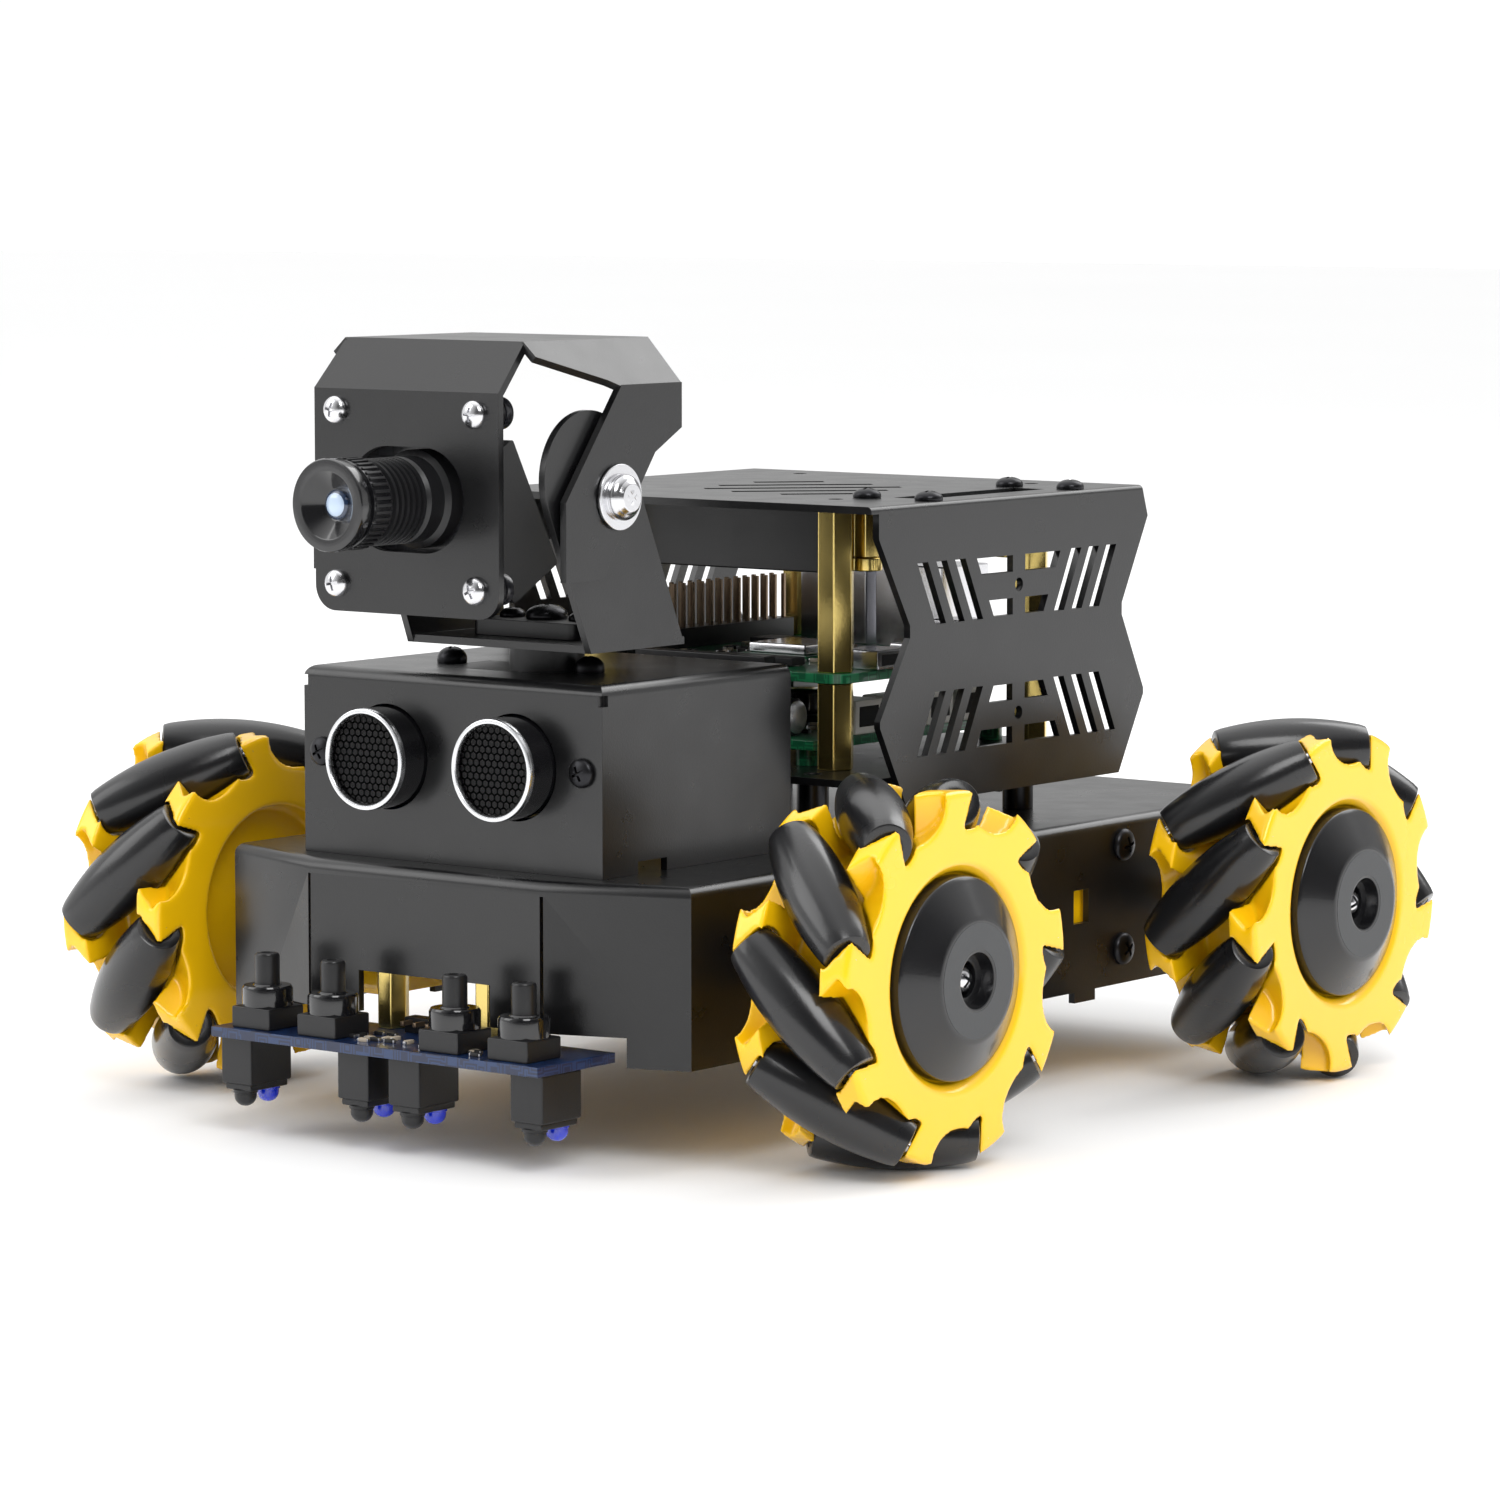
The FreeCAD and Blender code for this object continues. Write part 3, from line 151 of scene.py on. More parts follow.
def board_finish(name, mask, track):
    """Solder mask with raised copper tracks under it, drawn by square cells."""
    material = finish(name, mask, 0.32, coat=0.4, grain=3000, bump=0.03)
    tree = material.node_tree
    links, shader = tree.links, tree.nodes["Principled BSDF"]
    cells = tree.nodes.new("ShaderNodeTexVoronoi")
    cells.distance = "CHEBYCHEV"
    cells.feature = "F1"
    cells.inputs["Scale"].default_value = 330
    links.new(tree.nodes["Texture Coordinate"].outputs["Object"], cells.inputs["Vector"])
    lines = tree.nodes.new("ShaderNodeMath")
    lines.operation = "PINGPONG"
    lines.inputs[1].default_value = 0.09
    links.new(cells.outputs["Distance"], lines.inputs[0])
    ramp = tree.nodes.new("ShaderNodeValToRGB")
    ramp.color_ramp.elements[0].position = 0.045
    ramp.color_ramp.elements[1].position = 0.055
    ramp.color_ramp.elements[0].color = (*mask, 1)
    ramp.color_ramp.elements[1].color = (*track, 1)
    links.new(lines.outputs["Value"], ramp.inputs["Fac"])
    links.new(ramp.outputs["Color"], shader.inputs["Base Color"])
    relief = tree.nodes["Bump"]
    links.new(ramp.outputs["Color"], relief.inputs["Height"])
    return material


def glass_finish(name, color, rough=0.03):
    """A hard gloss under a clear coat."""
    material = finish(name, color, rough, coat=1.0, coat_rough=0.02, grain=900, bump=0.01,
                      mottle=0.3, spread=0.01)
    material.node_tree.nodes["Principled BSDF"].inputs["IOR"].default_value = 1.6
    return material


SHEET = finish("black powder coat", (0.0035, 0.0035, 0.004), 0.3, coat=0.25, coat_rough=0.2,
               grain=3400, bump=0.14)
YELLOW = finish("yellow moulded plastic", (1.0, 0.56, 0.003), 0.25, coat=0.5, coat_rough=0.08,
                grain=900, bump=0.05, mottle=0.03)
RUBBER = finish("roller rubber", (0.007, 0.007, 0.008), 0.27, coat=0.35, coat_rough=0.15,
                grain=1500, bump=0.12)
HUB_BLACK = finish("hub cap plastic", (0.008, 0.008, 0.009), 0.24, coat=0.3, grain=2200, bump=0.08)
HUB_GREY = finish("hub cap face", (0.045, 0.047, 0.05), 0.42, grain=2200, bump=0.12)
BLACK = finish("black plastic", (0.009, 0.009, 0.01), 0.36, grain=2400, bump=0.1)
GLOSS_BLACK = finish("gloss black enamel", (0.006, 0.006, 0.007), 0.16, coat=0.6, coat_rough=0.05,
                     grain=1800, bump=0.03, spread=0.05)
BLACK_STEEL = finish("blackened steel", (0.03, 0.03, 0.033), 0.3, metal=0.9, grain=2000, bump=0.06)
STEEL = finish("bright steel", (0.72, 0.72, 0.74), 0.2, metal=1.0, grain=1800, bump=0.05, mottle=0.08)
ALUMINIUM = finish("turned aluminium", (0.78, 0.79, 0.81), 0.26, metal=1.0, grain=1600, bump=0.08,
                   mottle=0.06, stretch=(0.2, 3.0, 0.2))
MESH = finish("transducer mesh", (0.6, 0.61, 0.63), 0.4, metal=0.35, grain=2600, bump=0.1)
BRASS = finish("brass", (0.78, 0.6, 0.2), 0.24, metal=1.0, grain=1500, bump=0.07, mottle=0.1)
GOLD_PIN = finish("header pin", (0.3, 0.22, 0.15), 0.3, metal=0.9, grain=2000, bump=0.05)
GREEN_BOARD = board_finish("green circuit board", (0.004, 0.075, 0.03), (0.012, 0.15, 0.06))
BLUE_BOARD = board_finish("blue circuit board", (0.003, 0.01, 0.042), (0.008, 0.03, 0.1))
BLACK_BOARD = board_finish("black circuit board", (0.006, 0.006, 0.008), (0.02, 0.02, 0.024))
CHIP = finish("chip epoxy", (0.014, 0.014, 0.015), 0.5, grain=3800, bump=0.15)
CERAMIC = finish("ceramic part", (0.42, 0.36, 0.28), 0.45, grain=3000, bump=0.06)
SOLDER = finish("solder", (0.6, 0.6, 0.62), 0.3, metal=1.0, grain=3000, bump=0.1)
GREY_BLOCK = finish("terminal block", (0.2, 0.23, 0.22), 0.35, coat=0.2, grain=2000, bump=0.08)
WHITE_PLASTIC = finish("socket plastic", (0.72, 0.7, 0.64), 0.4, grain=2000, bump=0.06)
BLUE_LED = glass_finish("blue dome", (0.006, 0.03, 0.62), 0.12)
LENS_GLASS = glass_finish("lens glass", (0.02, 0.04, 0.09))
# A pale blue-white cap over the glass: a painted highlight on the lens.
LENS_PAINTED_HIGHLIGHT = glass_finish("lens painted highlight", (0.5, 0.62, 0.8))
# Near-black painted shade, laid as flat patches where openings and recesses would be dark.
PAINTED_RECESS_SHADE = finish("shadowed recess", (0.004, 0.004, 0.004), 0.7, grain=2400, bump=0.1)


# ---------------------------------------------------------------- mesh tools
def aim(at, along):
    """A placement, in millimetres, that turns local +Z to point along a direction."""
    return Matrix.Translation(Vector(at)) @ Vector(along).to_track_quat("Z", "Y").to_matrix().to_4x4()


def lathe_mesh(profile, steps=56, closed=False):
    """Turns (radius, height) points about Z; a point on the axis closes the form there."""
    bm = bmesh.new()
    rings = []
    for radius, height in profile:
        if radius < 1e-6:
            rings.append([bm.verts.new((0, 0, height))])
        else:
            turns = [2 * pi * k / steps for k in range(steps)]
            rings.append([bm.verts.new((radius * cos(t), radius * sin(t), height)) for t in turns])
    pairs = list(zip(rings, rings[1:] + rings[:1])) if closed else list(zip(rings, rings[1:]))
    for a, b in pairs:
        for k in range(steps):
            n = (k + 1) % steps
            corners = [a[k % len(a)], a[n % len(a)], b[n % len(b)], b[k % len(b)]]
            unique = list(dict.fromkeys(corners))
            if len(unique) > 2:
                bm.faces.new(unique)
    bmesh.ops.recalc_face_normals(bm, faces=bm.faces)
    return bm


def rod_profile(radius, length, edge, bore=0.0):
    """A turned bar with its rims rounded off, and an optional bore right through."""
    rim = [(radius - edge * (1 - cos(a)), edge * (1 - sin(a))) for a in (pi / 2, pi / 4, 0)]
    bottom = [(r, h) for r, h in rim]
    top = [(r, length - h) for r, h in reversed(rim)]
    if bore:
        return [(bore, 0)] + bottom + top + [(bore, length)]
    return [(0, 0)] + bottom + top + [(0, length)]


def prism_mesh(outline, length, edge=0.2):
    """An outline in the local XY plane drawn up Z, with bevelled edges."""
    bm = bmesh.new()
    base = bm.faces.new([bm.verts.new((x, y, 0)) for x, y in outline])
    top = bmesh.ops.extrude_face_region(bm, geom=[base])
    moved = [g for g in top["geom"] if isinstance(g, bmesh.types.BMVert)]
    bmesh.ops.translate(bm, vec=(0, 0, length), verts=moved)
    bmesh.ops.recalc_face_normals(bm, faces=bm.faces)
    if edge:
        bmesh.ops.bevel(bm, geom=list(bm.edges), offset=edge, segments=2, affect="EDGES", profile=0.5)
    return bm


def box_mesh(size, edge):
    w, d, h = size
    return prism_mesh([(-w / 2, -d / 2), (w / 2, -d / 2), (w / 2, d / 2), (-w / 2, d / 2)], h, edge)


def cut_mesh(bm, cutters):
    """Takes cutter meshes away from a mesh."""
    objects = []
    for source in [bm] + cutters:
        mesh = bpy.data.meshes.new("cut")
        source.to_mesh(mesh)
        source.free()
        objects.append(bpy.data.objects.new("cut", mesh))
        bpy.context.scene.collection.objects.link(objects[-1])
    target = objects[0]
    for cutter in objects[1:]:
        step = target.modifiers.new("cut", "BOOLEAN")
        step.operation, step.object, step.solver = "DIFFERENCE", cutter, "EXACT"
    result = bmesh.new()
    settled = target.evaluated_get(bpy.context.evaluated_depsgraph_get())
    result.from_mesh(bpy.data.meshes.new_from_object(settled))
    for o in objects:
        bpy.data.objects.remove(o)
    return result


class Piece:
    """Gathers parts into one object that rides on a CAD body and may stand for CAD nodes."""

    def __init__(self, name, body, slot, *nodes):
        self.name, self.body, self.slot, self.nodes = name, body, slot, nodes
        self.bm, self.materials = bmesh.new(), []

    def add(self, part, material, place=None):
        if material not in self.materials:
            self.materials.append(material)
        index = self.materials.index(material)
        if place is not None:
            part.transform(place)
        for face in part.faces:
            face.material_index = index
        mesh = bpy.data.meshes.new("part")
        part.to_mesh(mesh)
        part.free()
        self.bm.from_mesh(mesh)
        bpy.data.meshes.remove(mesh)
        return self

    def box(self, x0, x1, y0, y1, z0, z1, material, edge=0.15):
        place = Matrix.Translation(((x0 + x1) / 2, (y0 + y1) / 2, z0))
        return self.add(box_mesh((x1 - x0, y1 - y0, z1 - z0), edge), material, place)

    def rod(self, radius, start, end, material, edge=0.15, bore=0.0, steps=48):
        start, end = Vector(start), Vector(end)
        profile = rod_profile(radius, (end - start).length, edge, bore)
        return self.add(lathe_mesh(profile, steps, closed=bool(bore)), material, aim(start, end - start))

    def turned(self, profile, at, along, material, steps=64, closed=False):
        return self.add(lathe_mesh(profile, steps, closed), material, aim(at, along))

    def done(self, sharp=38):
        mesh = bpy.data.meshes.new(self.name)
        self.bm.transform(Matrix.Translation(ORIGIN) @ Matrix.Scale(MM, 4))
        self.bm.to_mesh(mesh)
        self.bm.free()
        return dress(mesh, self, sharp)


def dress(mesh, piece, sharp):
    """Makes the object, shades it smooth between sharp edges and ties it to its CAD body."""
    for material in piece.materials:
        mesh.materials.append(material)
    mesh.polygons.foreach_set("use_smooth", [True] * len(mesh.polygons))
    mesh.set_sharp_from_angle(angle=radians(sharp))
    obj = bpy.data.objects.new(piece.name, mesh)
    bpy.context.scene.collection.objects.link(obj)
    even = obj.modifiers.new("even", "WEIGHTED_NORMAL")
    even.keep_sharp = True
    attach(obj, piece.body)
    if piece.nodes:
        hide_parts(*piece.nodes)
    return obj


def skin(node, body, slot, material, edge=0.22, pick=None, extra=()):
    """The CAD node's own shape with every hard edge broken; pick(centre) may choose a material."""
    piece = Piece(node + "_skin", body, slot, node)
    bm = piece.bm
    bm.from_mesh(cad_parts[node].data)
    bm.transform(Matrix.Scale(1 / MM, 4) @ Matrix.Translation(-ORIGIN))
    bmesh.ops.remove_doubles(bm, verts=bm.verts, dist=0.002)
    bmesh.ops.dissolve_limit(bm, angle_limit=radians(0.6), verts=bm.verts, edges=bm.edges,
                             delimit={"NORMAL"})
    hard = [e for e in bm.edges if len(e.link_faces) == 2 and e.calc_face_angle(0) > radians(32)]
    if edge:
        bmesh.ops.bevel(bm, geom=hard, offset=edge, segments=2, affect="EDGES", profile=0.5,
                        clamp_overlap=True)
    piece.materials = [material] + list(extra)
    for face in bm.faces:
        face.material_index = piece.materials.index(pick(face.calc_center_median())) if pick else 0
    return piece.done()


def cross(radius, depth):
    """The cutter for a Phillips recess, pointing down from z = 0."""
    arms = []
    for turn in (0, pi / 2):
        arm = box_mesh((radius * 1.05, radius * 0.2, depth + 1), 0)
        arm.transform(Matrix.Rotation(turn, 4, "Z") @ Matrix.Translation((0, 0, -depth)))
        arms.append(arm)
    return arms


HEADS = {}


def screw_head(radius, height):
    """A domed head with a cross recess, standing on z = 0; each size is cut once."""
    key = (radius, height)
    if key not in HEADS:
        dome = [(0, -0.02), (radius * 0.97, -0.02), (radius, 0.1 * height), (radius, 0.26 * height)]
        for a in range(12, 90, 11):
            dome.append((radius * cos(radians(a)), (0.26 + 0.74 * sin(radians(a))) * height))
        cutters = cross(radius, 0.45 * height)
        for arm in cutters:
            arm.transform(Matrix.Translation((0, 0, height)))
        cut = cut_mesh(lathe_mesh(dome, 48), cutters)
        HEADS[key] = bpy.data.meshes.new("head")
        cut.to_mesh(HEADS[key])
        cut.free()
    bm = bmesh.new()
    bm.from_mesh(HEADS[key])
    bm.transform(Matrix.Rotation(random.uniform(0, pi), 4, "Z"))
    return bm


# ---------------------------------------------------------------- wheels
def barrel_profile(extra, half):
    """A roller's outline: its side keeps the wheel's radius from the axle all along."""
    points = []
    for k in range(25):
        s = -half + 2 * half * k / 24
        points.append((AXLE_Z - sqrt(ROLLER_CENTRE_R ** 2 + s * s / 2) + extra, s))
    return points


def roller_place(side, end, phase, k, turn=0.0, radius=ROLLER_CENTRE_R):
    """Where roller k of a wheel sits, with local Z along its pin."""
    angle = radians(phase + 360 / ROLLERS * k + turn)
    round_way = Vector((0, -sin(angle), cos(angle))) * (-end * side)
    centre = Vector((side * WHEEL_X, end * AXLE_Y, AXLE_Z))
    centre += Vector((0, cos(angle), sin(angle))) * radius
    return aim(centre, Vector((1, 0, 0)) + round_way)


def wheel_rim(name, side, end, phase):
    """The moulded rim: a turned spool with roller pockets and lobes, softened like a moulding."""
    w, r = WHEEL_HALF_W, RIM_R
    profile = [(5.05, -7.5), (15.9, -7.5), (16.6, -w), (r - 0.5, -w), (r, -w + 0.5), (r, -5.8),
               (SPOOL_R, -5.8), (SPOOL_R, 5.8), (r, 5.8), (r, w - 0.5), (r - 0.5, w), (17.4, w),
               (16.1, w - 1.2), (15.9, 8.4), (5.05, 8.4)]
    blank = lathe_mesh(profile, 160, closed=True)
    blank.transform(aim((side * WHEEL_X, end * AXLE_Y, AXLE_Z), (side, 0, 0)))
    half = ROLLER_HALF_L + 0.35
    pocket = [(0, -half)] + barrel_profile(ROLLER_GAP, half) + [(0, half)]
    cutters = []
    for k in range(ROLLERS):
        cutter = lathe_mesh(pocket, 56)
        cutter.transform(roller_place(side, end, phase, k))
        cutters.append(cutter)
        for face in (-1, 1):
            scoop = lathe_mesh([(0, 7), (VALLEY_R, 7), (VALLEY_R, 17), (0, 17)], 48)
            turn = face * end * side * VALLEY_TURN
            place = roller_place(side, end, phase, k, turn, VALLEY_CENTRE_R)
            if face < 0:
                place = place @ Matrix.Rotation(pi, 4, "X")
            scoop.transform(place)
            cutters.append(scoop)
    rough = cut_mesh(blank, cutters)
    mesh = bpy.data.meshes.new("rim")
    rough.to_mesh(mesh)
    rough.free()
    rim = bpy.data.objects.new("rim", mesh)
    bpy.context.scene.collection.objects.link(rim)
    remesh = rim.modifiers.new("mould", "REMESH")
    remesh.mode, remesh.voxel_size = "VOXEL", 0.34
    soften = rim.modifiers.new("soften", "SMOOTH")
    soften.factor, soften.iterations = 0.5, 5
    soft = bpy.data.meshes.new_from_object(rim.evaluated_get(bpy.context.evaluated_depsgraph_get()))
    bpy.data.objects.remove(rim)
    body = "wheel_" + name
    piece = Piece(body + "_rim", body, "yellow_plastic", body)
    piece.bm.from_mesh(soft)
    piece.materials = [YELLOW]
    return piece.done(sharp=60)


def wheel_hub(name, side, end, phase):
    """Hub cap, axle screw, coupler, motor shaft and roller pins."""
    body = "wheel_" + name
    at, out = Vector((side * WHEEL_X, end * AXLE_Y, AXLE_Z)), Vector((side, 0, 0))
    cap = Piece(body + "_cap", body, "black_plastic", body)
    profile = [(2.85, 8.45), (15.3, 8.45), (15.6, 8.7), (15.6, 10.95), (15.35, 11.3), (14.9, 11.5),
               (9.75, 14.28), (9.3, 14.42), (8.9, 14.46), (4.6, 14.46), (4.3, 14.35), (4.05, 12.2), (2.85, 12.0)]
    cap.turned(profile, at, out, HUB_BLACK, 96, closed=True)
    face = [(4.75, 14.4), (8.75, 14.4), (8.75, 14.5), (4.75, 14.5)]
    cap.turned(face, at, out, HUB_GREY, 96, closed=True)
    cap.done()
    axle = Piece(body + "_axle", body, "dark_steel", body)
    axle.add(screw_head(2.6, 4.5), STEEL, aim(at + out * 8.42, out))
    axle.rod(5.0, at - out * 17.0, at + out * 8.3, BLACK_STEEL, 0.4)
    axle.rod(2.65, at - out * 33.0, at - out * 16.8, STEEL, 0.2)
    grub = at - out * 13.5
    axle.rod(1.6, grub + Vector((0, 0, 3.2)), grub + Vector((0, 0, 4.98)), STEEL, 0.2)
    for k in range(ROLLERS):
        place = roller_place(side, end, phase, k)
        axle.rod(1.0, place @ Vector((0, 0, -14.6)), place @ Vector((0, 0, 14.6)), STEEL, 0.15, steps=20)
    axle.done()


def roller_mesh():
    """One rubber roller on a hard core, bored for its pin."""
    side = barrel_profile(0, ROLLER_HALF_L)
    r, h = side[0][0], ROLLER_HALF_L
    side = [(r - 0.35, -h), (r - 0.08, -h + 0.12)] + side[1:-1] + [(r - 0.08, h - 0.12), (r - 0.35, h)]
    profile = [(2.3, -h), *side, (2.3, h)]
    core = [(1.07, -h + 0.1), (2.3, -h + 0.1), (2.3, h - 0.1), (1.07, h - 0.1)]
    piece = Piece("roller", "", "")
    piece.add(lathe_mesh(profile, 72, closed=True), RUBBER)
    piece.add(lathe_mesh(core, 40, closed=True), BLACK)
    mesh = bpy.data.meshes.new("roller")
    piece.bm.transform(Matrix.Scale(MM, 4))
    piece.bm.to_mesh(mesh)
    piece.bm.free()
    for material in piece.materials:
        mesh.materials.append(material)
    mesh.polygons.foreach_set("use_smooth", [True] * len(mesh.polygons))
    mesh.set_sharp_from_angle(angle=radians(38))
    return mesh


def rollers():
    shared = roller_mesh()
    for name, side, end, phase in WHEELS:
        for k in range(ROLLERS):
            node = f"roller_{name}_{k + 1}"
            obj = bpy.data.objects.new(node + "_rubber", shared)
            bpy.context.scene.collection.objects.link(obj)
            place = roller_place(side, end, phase, k)
            place.translation = ORIGIN + place.translation * MM
            obj.matrix_world = place
            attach(obj, node)
            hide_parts(node)


# ---------------------------------------------------------------- chassis
def sheet_metal():
    skin("chassis_tray", "chassis", "black_sheet", SHEET, 0.3)
    skin("sensor_box", "chassis", "black_sheet", SHEET, 0.3)
    skin("top_cover", "chassis", "black_sheet", SHEET, 0.26)
    skin("electronics_plate", "chassis", "black_sheet", SHEET, 0.25,
         pick=lambda c: BLACK_STEEL if c.z < 52.9 else SHEET, extra=[BLACK_STEEL])
    skin("standoffs", "chassis", "brass", BRASS, 0.25)


def gear_motors():
    """Gearbox halves with a parting rib, screws and a ribbed end, and the bright motor cans."""
    skin("gear_motors", "chassis", "yellow_plastic", YELLOW, 0.3,
         pick=lambda c: STEEL if abs(c.y) < 21.2 else YELLOW, extra=[STEEL])
    trim = Piece("motor_trim", "chassis", "black_plastic")
    for side in (-1, 1):
        x = side * MOTOR_X
        for end in (-1, 1):
            trim.rod(9.6, (x, end * 5.2, AXLE_Z), (x, end * 4.3, AXLE_Z), BLACK, 0.3)
            trim.rod(2.4, (x, end * 4.4, AXLE_Z), (x, end * 3.2, AXLE_Z), STEEL, 0.3)
            for y, z in ((62, 8), (62, -8), (33, 8), (33, -8)):
                at = (side * 26.7, end * y, AXLE_Z + z)
                trim.add(screw_head(1.6, 1.0), STEEL, aim(at, (-side, 0, 0)))
    trim.done()


def fasteners():
    """Black motor, sensor and cover screws."""
    piece = Piece("fasteners", "chassis", "dark_steel", "body_screws")

    def drive(radius, height, at, out):
        piece.add(screw_head(radius, height), BLACK_STEEL, aim(at, out))

    for side in (-1, 1):
        for end in (-1, 1):
            for up in (-1, 1):
                drive(2.7, 1.6, (side * TRAY_X, end * 38.2, AXLE_Z + up * 8.75), (side, 0, 0))
        drive(2.3, 1.4, (side * 26.5, BOX_FRONT_Y, SONAR_Z), (0, -1, 0))
        drive(2.4, 2.6, (PAN_SERVO_X + side * SERVO_SCREW, PAN_Y, BOX_TOP_Z), (0, 0, 1))
    for x in STUB_X:
        for y in STUB_Y:
            drive(2.3, 1.6, (x, y, COVER_Z), (0, 0, 1))
    piece.done()


def transducer_mesh(piece, x, z, face_y, radius):
    """A grille of six-sided holes inside a transducer's rim."""
    pitch, wire = 1.2, 0.26
    rows = int(radius / pitch) + 2
    bm = bmesh.new()
    corners = {}

    def corner(px, pz):
        key = (round(px, 3), round(pz, 3))
        if key not in corners:
            corners[key] = bm.verts.new((px, pz, 0))
        return corners[key]

    arm = pitch / sqrt(3)
    for row in range(-rows, rows + 1):
        for col in range(-rows, rows + 1):
            cx, cz = (col + row / 2) * pitch, row * pitch * sqrt(3) / 2
            if (cx * cx + cz * cz) > (radius - 0.4) ** 2:
                continue
            cell = [corner(cx + arm * sin(pi * k / 3), cz + arm * cos(pi * k / 3)) for k in range(6)]
            bm.faces.new(cell)
    bmesh.ops.wireframe(bm, faces=list(bm.faces), thickness=wire, use_replace=True, use_even_offset=True,
                        use_boundary=True)
    piece.add(bm, MESH, aim((x, face_y, z), (0, -1, 0)))


def sonar():
    board_y = BOX_FRONT_Y + 6.4
    piece = Piece("sonar", "chassis", "aluminium", "ultrasonic_sensor")
    piece.box(-29, 29, board_y, board_y + 1.6, SONAR_Z - 10, SONAR_Z + 10, BLUE_BOARD, 0.1)
    for side in (-1, 1):
        x = side * SONAR_PITCH
        depth = board_y - SONAR_FACE_Y
        can = [(0, 0.1), (7.6, 0.1), (7.95, 0.5), (7.98, depth - 0.9), (7.1, depth - 0.9),
               (7.1, depth - 1.5), (0, depth - 1.5)]
        piece.turned(can, (x, board_y, SONAR_Z), (0, -1, 0), GLOSS_BLACK, 96)
        lip = [(7.1, depth - 1.0), (7.99, depth - 1.0), (8.0, depth - 0.4), (7.88, depth - 0.12),
               (7.6, depth), (7.25, depth - 0.08), (7.1, depth - 0.3)]
        piece.turned(lip, (x, board_y, SONAR_Z), (0, -1, 0), ALUMINIUM, 96, closed=True)
        # A near-black disc behind the grille: painted shade inside the transducer can.
        back = SONAR_FACE_Y + 1.5
        piece.rod(7.0, (x, back, SONAR_Z), (x, back - 0.15, SONAR_Z), PAINTED_RECESS_SHADE, 0.05)
        transducer_mesh(piece, x, SONAR_Z, SONAR_FACE_Y + 0.3, 7.1)
        x = side * 26.5
        piece.rod(2.2, (x, BOX_FRONT_Y + 1.2, SONAR_Z), (x, board_y, SONAR_Z), WHITE_PLASTIC, 0.15)
    piece.box(-3.2, 3.2, board_y - 2.4, board_y, SONAR_Z + 2, SONAR_Z + 7, STEEL, 0.5)
    for k in range(4):
        x = -3.81 + 2.54 * k
        piece.box(x - 0.3, x + 0.3, board_y + 1.6, board_y + 7, SONAR_Z - 8.3, SONAR_Z - 7.7, GOLD_PIN, 0.05)
    piece.done()


def line_sensor():
    piece = Piece("line_sensor_parts", "chassis", "black_plastic", "line_sensor")
    top = LINE_Z
    under = top - 1.6
    board = box_mesh((66.6, 18.5, 1.6), 0.12)
    board.transform(Matrix.Translation((0, -88.75, under)))
    holes = [lathe_mesh(rod_profile(1.5, 4, 0.1), 32) for _ in range(2)]
    for hole, x in zip(holes, (-10, 10)):
        hole.transform(Matrix.Translation((x, -81.2, under - 1)))
    piece.add(cut_mesh(board, holes), BLUE_BOARD)
    for x in LINE_EYE_X:
        y = LINE_EYE_Y
        piece.box(x - 3.2, x + 3.2, y - 4.7, y + 4.7, 8.2, under, BLACK, 0.35)
        piece.box(x - 2.7, x + 2.7, y - 4.3, y + 4.3, 7.2, 8.3, BLACK, 0.25)
        for dy, material in ((-2.6, BLACK), (2.6, BLUE_LED)):
            dome = [(0, 0), (1.95, 0), (1.95, 0.5), (1.75, 0.6), (1.75, 1.1)]
            dome += [(1.75 * cos(radians(a)), 1.1 + 1.6 * sin(radians(a))) for a in (15, 30, 45, 60, 75)]
            piece.turned(dome + [(0, 2.7)], (x, y + dy, 7.25), (0, 0, -1), material, 40)
    for x in LINE_TOP_X:
        y = LINE_TOP_Y
        piece.box(x - 4, x + 4, y - 4, y + 4, top, top + 3.4, BLACK, 0.3)
        collar = [(0, 0), (3.85, 0), (4.0, 0.2), (4.0, 2.8), (3.7, 3.3), (2.3, 3.3), (2.1, 3.5), (0, 3.5)]
        piece.turned(collar, (x, y, top + 3.3), (0, 0, 1), GLOSS_BLACK, 56)
        piece.turned([(0, 0), (1.95, 0), (1.95, 4.5), (1.7, 4.9), (1.0, 5.0), (0.9, 4.5), (0, 4.4)],
                     (x, y, top + 6.7), (0, 0, 1), BLACK, 40)
    scatter(piece, (-20, 20, -96.5, -88), top, 26)
    for x in (-3.8, -1.27, 1.27, 3.8):
        piece.box(x - 0.35, x + 0.35, -86.4, -81, top + 1.4, top + 2.1, GOLD_PIN, 0.05)
    piece.box(-5.2, 5.2, -84.2, -81.6, top, top + 2.5, BLACK, 0.2)
    piece.done()


# ---------------------------------------------------------------- electronics
def scatter(piece, area, z, count, keep_off=()):
    """Small soldered parts on a half-millimetre grid, away from the larger ones."""
    x0, x1, y0, y1 = area
    for _ in range(count):
        x, y = round(random.uniform(x0, x1) * 2) / 2, round(random.uniform(y0, y1) * 2) / 2
        kind, turn = random.choice((CERAMIC, CHIP, CHIP)), random.random() < 0.5
        if any(a < x < b and c < y < d for a, b, c, d in keep_off):
            continue
        w, d = (1.6, 0.8) if turn else (0.8, 1.6)
        piece.box(x - w / 2, x + w / 2, y - d / 2, y + d / 2, z, z + 0.6, kind, 0.06)
        dx, dy = (w / 2, 0) if turn else (0, d / 2)
        for px, py in ((x - dx, y - dy), (x + dx, y + dy)):
            piece.box(px - 0.3, px + 0.3, py - 0.3, py + 0.3, z, z + 0.5, SOLDER, 0.06)


def chip(piece, x, y, w, d, z, legs):
    piece.box(x - w / 2, x + w / 2, y - d / 2, y + d / 2, z + 0.15, z + 1.5, CHIP, 0.18)
    for k in range(legs):
        leg_x = x - w / 2 + w * (k + 0.5) / legs
        for leg_y in (y - d / 2 - 0.3, y + d / 2 + 0.3):
            piece.box(leg_x - 0.18, leg_x + 0.18, leg_y - 0.4, leg_y + 0.4, z, z + 0.35, SOLDER, 0.04)


